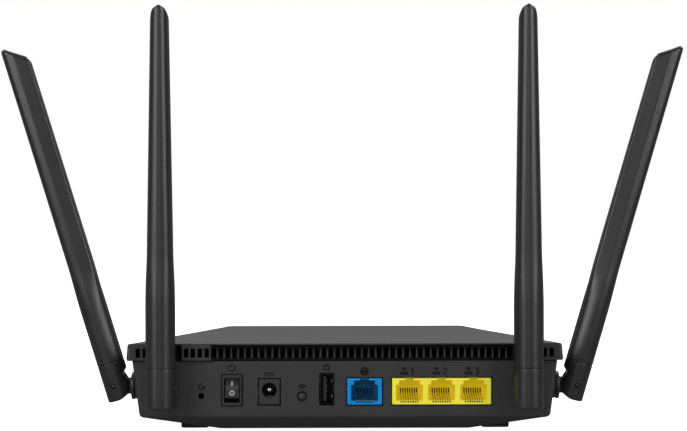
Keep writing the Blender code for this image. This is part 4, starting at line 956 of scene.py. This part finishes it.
def makeMarks():
    # plain signs over the fittings: numbers for the yellow sockets and simple figures for the rest
    stroke, scale = 0.00034, 1.3

    def line(*points):
        return rounded(points, 0.0001, 2, closed=False)

    def frameOf(left, right, low, high):
        return line((left, low), (right, low), (right, high), (left, high), (left, low))

    corners = ((-0.0026, -0.001), (-0.0012, -0.001), (-0.0019, 0.0004))
    net = [frameOf(x - 0.0004, x + 0.0004, z, z + 0.0007) for x, z in corners]
    one = line((0.0004, 0.0006), (0.0010, 0.0011), (0.0010, -0.0011))
    two = np.concatenate(
        [arc(0.0009, 0.00045, 0.0006, 0.0006, 160, -40, 12), [(0.0003, -0.001), (0.0016, -0.001)]]
    )
    upper, lower = arc(0.0009, 0.0005, 0.0005, 0.00055, 150, -80, 12), arc(
        0.0009, -0.0005, 0.0006, 0.00055, 80, -150, 12
    )
    three = np.concatenate([upper, lower])
    prongs = [line((x, 0.0004), (x, 0.0011)) for x in (-0.0004, 0.0004)]
    power = [arc(0, 0, 0.0011, 0.0011, 125, 415), line((0, 0.0002), (0, 0.0008), (0, 0.0014))]
    dashes = [
        line((x - 0.00035, -0.0004), (x, -0.0004), (x + 0.00035, -0.0004)) for x in (-0.00125, 0, 0.00125)
    ]
    turned = [
        arc(0, 0, 0.0009, 0.0009, 60, 360), line((0.0004, 0.0001), (0.0009, -0.0004), (0.0014, 0.0001))
    ]
    waves = [arc(0, -0.0005, r, r, 30, 150, 14) for r in (0.0003, 0.0009, 0.0015)]
    globe = [arc(0, 0, 0.0012, 0.0012, 0, 360, 28), arc(0, 0, 0.0005, 0.0012, 0, 360, 24)]
    signs = {
        "sign_reset": (-0.0624, 0.0197, turned),
        "sign_power": (-0.0490, 0.0279, power),
        "sign_dc": (-0.0328, 0.0249, [line((-0.0016, 0.0004), (0, 0.0004), (0.0016, 0.0004)), *dashes]),
        "sign_pairing": (-0.0186, 0.0191, waves),
        "sign_usb": (-0.00785, 0.0281, [frameOf(-0.0008, 0.0008, -0.0009, 0.0004), *prongs]),
        "sign_net": (0.0086, 0.0262, [*globe, line((-0.0012, 0), (0, 0), (0.0012, 0))]),
        "sign_one": (0.0283, 0.0262, [*net, one]),
        "sign_two": (0.0423, 0.0262, [*net, two]),
        "sign_three": (0.0562, 0.0262, [*net, three]),
    }
    for name, (x, z, paths) in signs.items():
        points, faces = [], []
        for path in paths:
            sides = ribbon(path, stroke) * scale + np.array([x, z])
            faces += [[i + len(points) for i in quad] for quad in stripQuads(len(sides), 2)]
            points += sides.reshape(-1, 2).tolist()
        flat = np.array(points)
        sheet = newPiece(
            name, alongAxis(flat[:, 0], flat[:, 1], case["panelY"] - 0.00001, "Y"), faces, legendInk
        )
        stands(sheetOf(sheet, 0.00006), "case", "label")


makeSwitch()
makeDcInlet()
makeButtons()
makeUsb()
makeJack("wan", panel["wan"], [panel["wan"]["x"]], socketBlue, socketBlueInsidePaintedLight, "blue_plastic")
lanPorts = panel["lan"]["x"] + spaced(3, panel["lan"]["pitch"])
makeJack("lan", panel["lan"], lanPorts, socketYellow, socketYellowInsidePaintedLight, "yellow_plastic")
makeMarks()
print("panel made")

antenna = {
    "length": 0.1750,
    "radius": 0.00645,
    "pinOffset": 0.0013,
    "pinHeight": 0.007,
    "seam": 0.0179,
    "roundTop": 0.044,
    "facetFoot": 0.068,
    "narrowFrom": 0.056,
    "halfDepth": 0.0062,
    "halfWidth": 0.0060,
    "tipHalfWidth": 0.0041,
    "tipSlant": 35,
    "tipRound": 0.0029,
    "tipEdge": 0.0014,
    "tipRings": 5,
    "ridgeRounds": [0.0021, 0.0021, 0.0006, 0.0012, 0.0012, 0.0006, 0.0021],
    "bore": 0.0046,
    "spigot": 0.005,
    "pinRadius": 0.001,
    "pinLength": 0.0112,
    "tongue": 0.0044,
    "tongueHeight": 0.0074,
    "eye": 0.0034,
    "reach": 0.008,
    "flange": 0.00645,
    "flangeThickness": 0.0016,
    "shaft": 0.0034,
    "collar": 0.0049,
    "collarThickness": 0.0015,
}


def radomeMesh():
    # a round sleeve that turns into a seven-sided ridged blade, narrows and ends on a slanted, rounded tip;
    # each ring is the round section mixed with the ridged one
    a = antenna
    depth = a["halfDepth"]
    corners = [
        (1.0, 0.0), (0.75, 0.78), (0.02, 1.0), (-1.0, 0.72), (-1.0, -0.72), (0.02, -1.0), (0.75, -0.78)
    ]
    size = [depth, a["halfWidth"]]
    section = rounded(np.array(corners) * size, a["ridgeRounds"], 4) / size
    halfway = (section + np.roll(section, -1, axis=0)) / 2
    section = np.stack([section, halfway], axis=1).reshape(-1, 2)
    angle = np.arctan2(section[:, 1], section[:, 0])
    keys = ("seam", "roundTop", "facetFoot", "narrowFrom")
    foot, roundTop, facetFoot, narrowFrom = (a[key] - a["pinHeight"] for key in keys)
    foot += 0.0001
    tip = a["length"] - a["pinHeight"]
    slant = math.tan(math.radians(a["tipSlant"]))
    edge = 0.00025
    height = [foot, foot + edge * 0.4, foot + edge]
    height += list(np.linspace(foot + 0.004, roundTop, 6)) + list(np.linspace(roundTop, facetFoot, 17)[1:])
    height += list(np.linspace(facetFoot, tip, 12)[1:])
    height = np.array(height)
    facet = np.clip((height - roundTop) / (facetFoot - roundTop), 0, 1)
    facet = facet * facet * (3 - 2 * facet)
    narrow = np.clip((height - narrowFrom) / (tip - narrowFrom), 0, 1)
    shrink = np.array([edge, edge * 0.3] + [0] * (len(height) - 2))
    lift = np.zeros(len(height))
    turn = np.linspace(0, math.pi / 2, a["tipRings"] + 1)[1:]
    height = np.concatenate([height, np.full(a["tipRings"], tip)])
    facet, narrow = [np.concatenate([values, np.ones(a["tipRings"])]) for values in (facet, narrow)]
    shrink = np.concatenate([shrink, a["tipRound"] * (1 - np.cos(turn))])
    lift = np.concatenate([lift, -a["tipRound"] * (1 - np.sin(turn))])
    below = slice(None, -a["tipRings"])
    lift[below] = -a["tipRound"] * narrow[below]
    halfWidth = a["halfWidth"] + narrow * (a["tipHalfWidth"] - a["halfWidth"])
    roundN, roundS = np.cos(angle) * a["radius"], np.sin(angle) * a["radius"]
    bladeN, bladeS = section[None, :, 0] * depth, section[None, :, 1] * halfWidth[:, None]
    n = roundN + facet[:, None] * (bladeN - roundN)
    s = roundS + facet[:, None] * (bladeS - roundS)
    size = np.hypot(n, s)
    shrink = shrink[:, None]
    n, s = n * (1 - np.minimum(shrink, a["tipEdge"]) / size), s * (1 - shrink / size)
    z = height[:, None] + lift[:, None] - slant * (depth - n) * narrow[:, None]
    grid = np.stack([n - a["pinOffset"], s, z], axis=-1)
    piece = closedSurface("radome", grid, antennaBlack)
    profile = [(a["bore"], foot - 0.001), (a["bore"], foot + 0.03)]
    combine(
        piece, "DIFFERENCE", revolve("boreTool", profile, (-a["pinOffset"], 0, 0), "Z", antennaBlack, 32)
    )
    return soften(piece, angle=25)


def knuckleMesh():
    # a round sleeve with a quarter-round foot, cut back on the case's side by an arc about the pin, a
    # short chamfer and a straight wall; above the seam it steps in to the spigot that holds the radome
    a = antenna
    foot, seam, radius, offset = -a["pinHeight"], a["seam"] - a["pinHeight"], a["radius"], a["pinOffset"]
    edge, corner, arcTop, wallTop = 0.00025, 0.001, 0.0026, 0.0070
    z = np.concatenate([
        foot + corner * (1 - np.cos(np.linspace(0, math.pi / 2, 6))),
        np.linspace(foot + corner, arcTop, 14)[1:],
        np.linspace(arcTop, wallTop, 12)[1:],
        [seam - 0.002, seam - edge, seam - edge * 0.3, seam],
    ])
    inner = np.sqrt(np.clip(a["pinHeight"] ** 2 - np.minimum(z, arcTop) ** 2, 0, None))
    wall = np.interp(z, [arcTop, 0.005, wallTop], [0.0065, 0.0056, offset + radius])
    inner = np.where(z > arcTop, wall, inner)
    rise = np.clip((z - foot) / corner, 0, 1)
    shrink = corner * (1 - np.sqrt(1 - (1 - rise) ** 2))
    shrink[-2:] = edge * 0.3, edge
    angle = np.arange(96) * 2 * math.pi / 96
    x = (radius - shrink)[:, None] * np.cos(angle) - offset
    y = (radius - shrink)[:, None] * np.sin(angle)
    x = np.maximum(x, -inner[:, None])
    grid = np.stack([x, y, np.broadcast_to(z[:, None], x.shape)], axis=-1)
    spigot = a["bore"] - hairGap
    stub = np.stack([spigot * np.cos(angle) - offset, spigot * np.sin(angle), np.full(96, seam)], axis=-1)
    top = stub + [0, 0, a["spigot"]]
    grid = np.concatenate([grid, stub[None], top[None]])
    piece = closedSurface("knuckle", grid, antennaBlack)
    reach, slotHalf = a["eye"] + 0.0006, a["tongue"] / 2 + hairGap
    turn = np.linspace(math.pi / 2, 0, 9)
    outline = [
        (-0.01, -0.01), (-0.01, reach), *zip(reach * np.cos(turn), reach * np.sin(turn)), (reach, -0.01)
    ]
    channel = extrude("channelTool", outline, -slotHalf, slotHalf, "Y", hingeBlack)
    pinRadius = a["pinRadius"] + 0.0002
    hole = revolve("pinTool", [(pinRadius, -0.01), (pinRadius, 0.01)], (0, 0, 0), "Y", hingeBlack, 24)
    combine(piece, "DIFFERENCE", channel, hole)
    return soften(piece, angle=35)


def stubMesh():
    # the swivel: collar, shaft and flange turned about X, and a tongue with an eye for the pin
    a = antenna
    back = -a["reach"] - a["flangeThickness"]
    collarBack = back - 2 * hairGap - case["wall"] - a["collarThickness"]
    round_ = 0.0004
    profile = [
        (a["collar"] - 0.0002, collarBack),
        (a["collar"], collarBack + 0.0002),
        (a["collar"], collarBack + a["collarThickness"]),
        (a["shaft"], collarBack + a["collarThickness"]),
        (a["shaft"], back),
        (a["flange"] - round_ * 0.6, back),
        (a["flange"], back + round_ * 0.6),
        (a["flange"], -a["reach"] - round_),
        (a["flange"] - round_ * 0.3, -a["reach"] - round_ * 0.3),
        (a["flange"] - round_, -a["reach"]),
        (a["flange"] * 0.72, -a["reach"] + 0.0001),
    ]
    piece = revolve("stub", profile, (0, 0, 0), "X", hingeBlack, 64)
    half, root = a["tongue"] / 2, a["tongueHeight"] / 2
    turn = np.radians(np.linspace(-110, 110, 21))
    back, neck = -a["reach"] - 0.0005, -0.0065
    outline = [(back, -root), (neck, -root), *zip(a["eye"] * np.cos(turn), a["eye"] * np.sin(turn))]
    outline += [(neck, root), (back, root)]
    combine(piece, "UNION", extrude("tongue", outline, -half, half, "Y", hingeBlack))
    eyeHole = a["pinRadius"] + hairGap
    hole = revolve("eyeTool", [(eyeHole, -0.01), (eyeHole, 0.01)], (0, 0, 0), "Y", hingeBlack, 24)
    combine(piece, "DIFFERENCE", hole)
    return soften(piece, 0.0002)


def pinMesh():
    a = antenna
    half, radius = a["pinLength"] / 2, a["pinRadius"]
    turns = ((0.1, 1.0), (0.5, 0.87), (0.87, 0.5), (1.0, 0.0))
    dome = [(radius * s, half - 0.0004 * (1 - c)) for s, c in turns]
    profile = [(r, -h) for r, h in dome] + dome[::-1]
    return soften(revolve("pin", profile, (0, 0, 0), "Y", hingeSteel, 24))


antennaPlaces = {
    "rear_left": {"heading": -90, "lean": 0},
    "rear_right": {"heading": -90, "lean": 0},
    "side_left": {"heading": 180, "lean": 17.2},
    "side_right": {"heading": 0, "lean": 16.4},
}


def makeAntennas():
    parts = {
        "radome": (radomeMesh(), "antenna_plastic", "antenna"),
        "knuckle": (knuckleMesh(), "antenna_plastic", "antenna"),
        "hinge_pin": (pinMesh(), "steel", "antenna"),
        "stub": (stubMesh(), "antenna_plastic", "swivel"),
    }
    for name, placing in antennaPlaces.items():
        pin = Matrix.Translation(joints[f"{name}_fold"]["pos_m"])
        swivel = pin @ Matrix.Rotation(math.radians(placing["heading"]), 4, "Z")
        hinge = swivel @ Matrix.Rotation(math.radians(placing["lean"]), 4, "Y")
        for kind, (pattern, slot, body) in parts.items():
            piece = pattern.copy()
            piece.data = pattern.data.copy()
            piece.name = f"{name}_{kind}_shape"
            piece.data.transform(swivel if kind == "stub" else hinge)
            scene.collection.objects.link(piece)
            stands(piece, f"{name}_{body}", slot, f"{name}_{kind}")
    for pattern, *_ in parts.values():
        bpy.data.objects.remove(pattern, do_unlink=True)


def makeSideBosses():
    # a round boss on each side wall that the side antenna's flange turns against
    a = antenna
    for side, name in ((-1, "left"), (1, "right")):
        x, y, z = joints[f"side_{name}_fold"]["pos_m"]
        face = a["reach"] + a["flangeThickness"] + hairGap
        wallX = case["middleHalf"] - case["eave"] - case["draft"] - 0.0005
        radius = a["flange"] - 0.0002
        profile = [
            (a["shaft"] + hairGap, abs(x) - face - 0.0002),
            (radius - 0.0003, abs(x) - face),
            (radius, abs(x) - face - 0.0003),
            (radius, wallX + 0.0015),
            (radius + 0.0012, wallX - 0.002),
            (a["shaft"] + hairGap, wallX - 0.002),
        ]
        profile = [(r, side * h) for r, h in profile]
        boss = revolve(f"side_boss_{name}", profile, (0, y, z), "X", caseBlack, 64, hollow=True)
        stands(soften(boss), "case", "case_plastic")


makeAntennas()
makeSideBosses()
print("antennas made")

carried = {
    "circuit_board": boardFinish,
    "main_chip": chipBlack,
    "wan_transformer": chipBlack,
    "lan_transformer": chipBlack,
    "heat_sink": sinkAluminium,
    "shield_can_left": canTin,
    "shield_can_right": canTin,
    "wps_switch": switchGrey,
    "reset_switch": switchGrey,
    "light_pipe": pipeClear,
    "rating_label": labelSilver,
    "board_screw_left": screwSteel,
    "board_screw_right": screwSteel,
}
carried.update({f"case_screw_{number}": screwSteel for number in (1, 2, 3, 4)})
carried.update({f"{name}_radiator": boardFinish for name in antennaPlaces})
carried.update({f"{name}_lead": leadBrown for name in antennaPlaces})
for node, finish in carried.items():
    shown = frame["nodes"][node]
    if shown.material_slots:
        shown.material_slots[0].material = finish
    else:
        shown.data.materials.append(finish)

stage = {
    "lens": 96.5,
    "distance": 0.800,
    "height": 0.0939,
    "aim": (-0.00034, -0.059),
    "turn": 0.2,
    "roll": 0.155,
    "ambient": 0.18,
    "lights": {
        "left": {"azimuth": -42, "elevation": 22, "distance": 1.6, "size": (0.6, 1.3), "power": 13},
        "right": {"azimuth": 46, "elevation": 22, "distance": 1.6, "size": (0.6, 1.3), "power": 12.5},
        "above": {"azimuth": 180, "elevation": 48, "distance": 1.5, "size": (2.2, 1.2), "power": 11.5},
        "front": {"azimuth": -4, "elevation": 10, "distance": 1.6, "size": (0.6, 0.6), "power": 1.6},
    },
}


def makeFloor():
    points = np.array([(-6, -6, 0), (6, -6, 0), (6, 6, 0), (-6, 6, 0)], float)
    made = Finish("stageWhite", Roughness=0.9)
    tint = made.noise(0.6, 1.0)
    made.feed("Base Color", made.mix(tint, (0.86, 0.86, 0.86, 1), (0.9, 0.9, 0.9, 1)))
    made.shader.inputs["Emission Color"].default_value = (1, 1, 1, 1)
    made.shader.inputs["Emission Strength"].default_value = 0.97
    floor = newPiece("floor", points, [[0, 1, 2, 3]], made.material)
    floor.visible_glossy = False
    floor.visible_diffuse = False


def makeWorld():
    # white to the camera, dim studio walls to everything else
    world = bpy.data.worlds.new("studio")
    scene.world = world
    world.use_nodes = True
    tree = world.node_tree
    backdrop = tree.nodes["Background"]
    walls = tree.nodes.new("ShaderNodeBackground")
    path = tree.nodes.new("ShaderNodeLightPath")
    blend = tree.nodes.new("ShaderNodeMixShader")
    walls.inputs[0].default_value = (1, 1, 1, 1)
    walls.inputs[1].default_value = stage["ambient"]
    backdrop.inputs[0].default_value = (1, 1, 1, 1)
    backdrop.inputs[1].default_value = 1.0
    tree.links.new(path.outputs["Is Camera Ray"], blend.inputs[0])
    tree.links.new(walls.outputs[0], blend.inputs[1])
    tree.links.new(backdrop.outputs[0], blend.inputs[2])
    tree.links.new(blend.outputs[0], tree.nodes["World Output"].inputs[0])


def makeLights():
    aim = Vector((0, 0, 0.05))
    for name, light in stage["lights"].items():
        azimuth, elevation = math.radians(light["azimuth"]), math.radians(light["elevation"])
        level = math.cos(elevation)
        away = Vector((math.sin(azimuth) * level, -math.cos(azimuth) * level, math.sin(elevation)))
        lamp = bpy.data.lights.new(name, "AREA")
        lamp.shape = "RECTANGLE"
        lamp.size, lamp.size_y = light["size"]
        lamp.energy = light["power"]
        holder = bpy.data.objects.new(f"light_{name}", lamp)
        holder.location = aim + away * light["distance"]
        holder.rotation_euler = away.to_track_quat("Z", "Y").to_euler()
        scene.collection.objects.link(holder)


def makeCamera():
    s = stage
    lens = bpy.data.cameras.new("camera")
    lens.lens = s["lens"]
    lens.sensor_width = 36
    lens.clip_start, lens.clip_end = 0.01, 50
    holder = bpy.data.objects.new("camera", lens)
    turn = math.radians(s["turn"])
    x, y = s["aim"]
    holder.location = (x + s["distance"] * math.sin(turn), y - s["distance"] * math.cos(turn), s["height"])
    looking = Matrix.Rotation(turn, 4, "Z") @ Matrix.Rotation(math.radians(90), 4, "X")
    holder.rotation_euler = (looking @ Matrix.Rotation(math.radians(-s["roll"]), 4, "Z")).to_euler()
    scene.collection.objects.link(holder)
    scene.camera = holder


makeFloor()
makeWorld()
makeLights()
makeCamera()
scene.view_settings.view_transform = "Standard"
print("stage made")
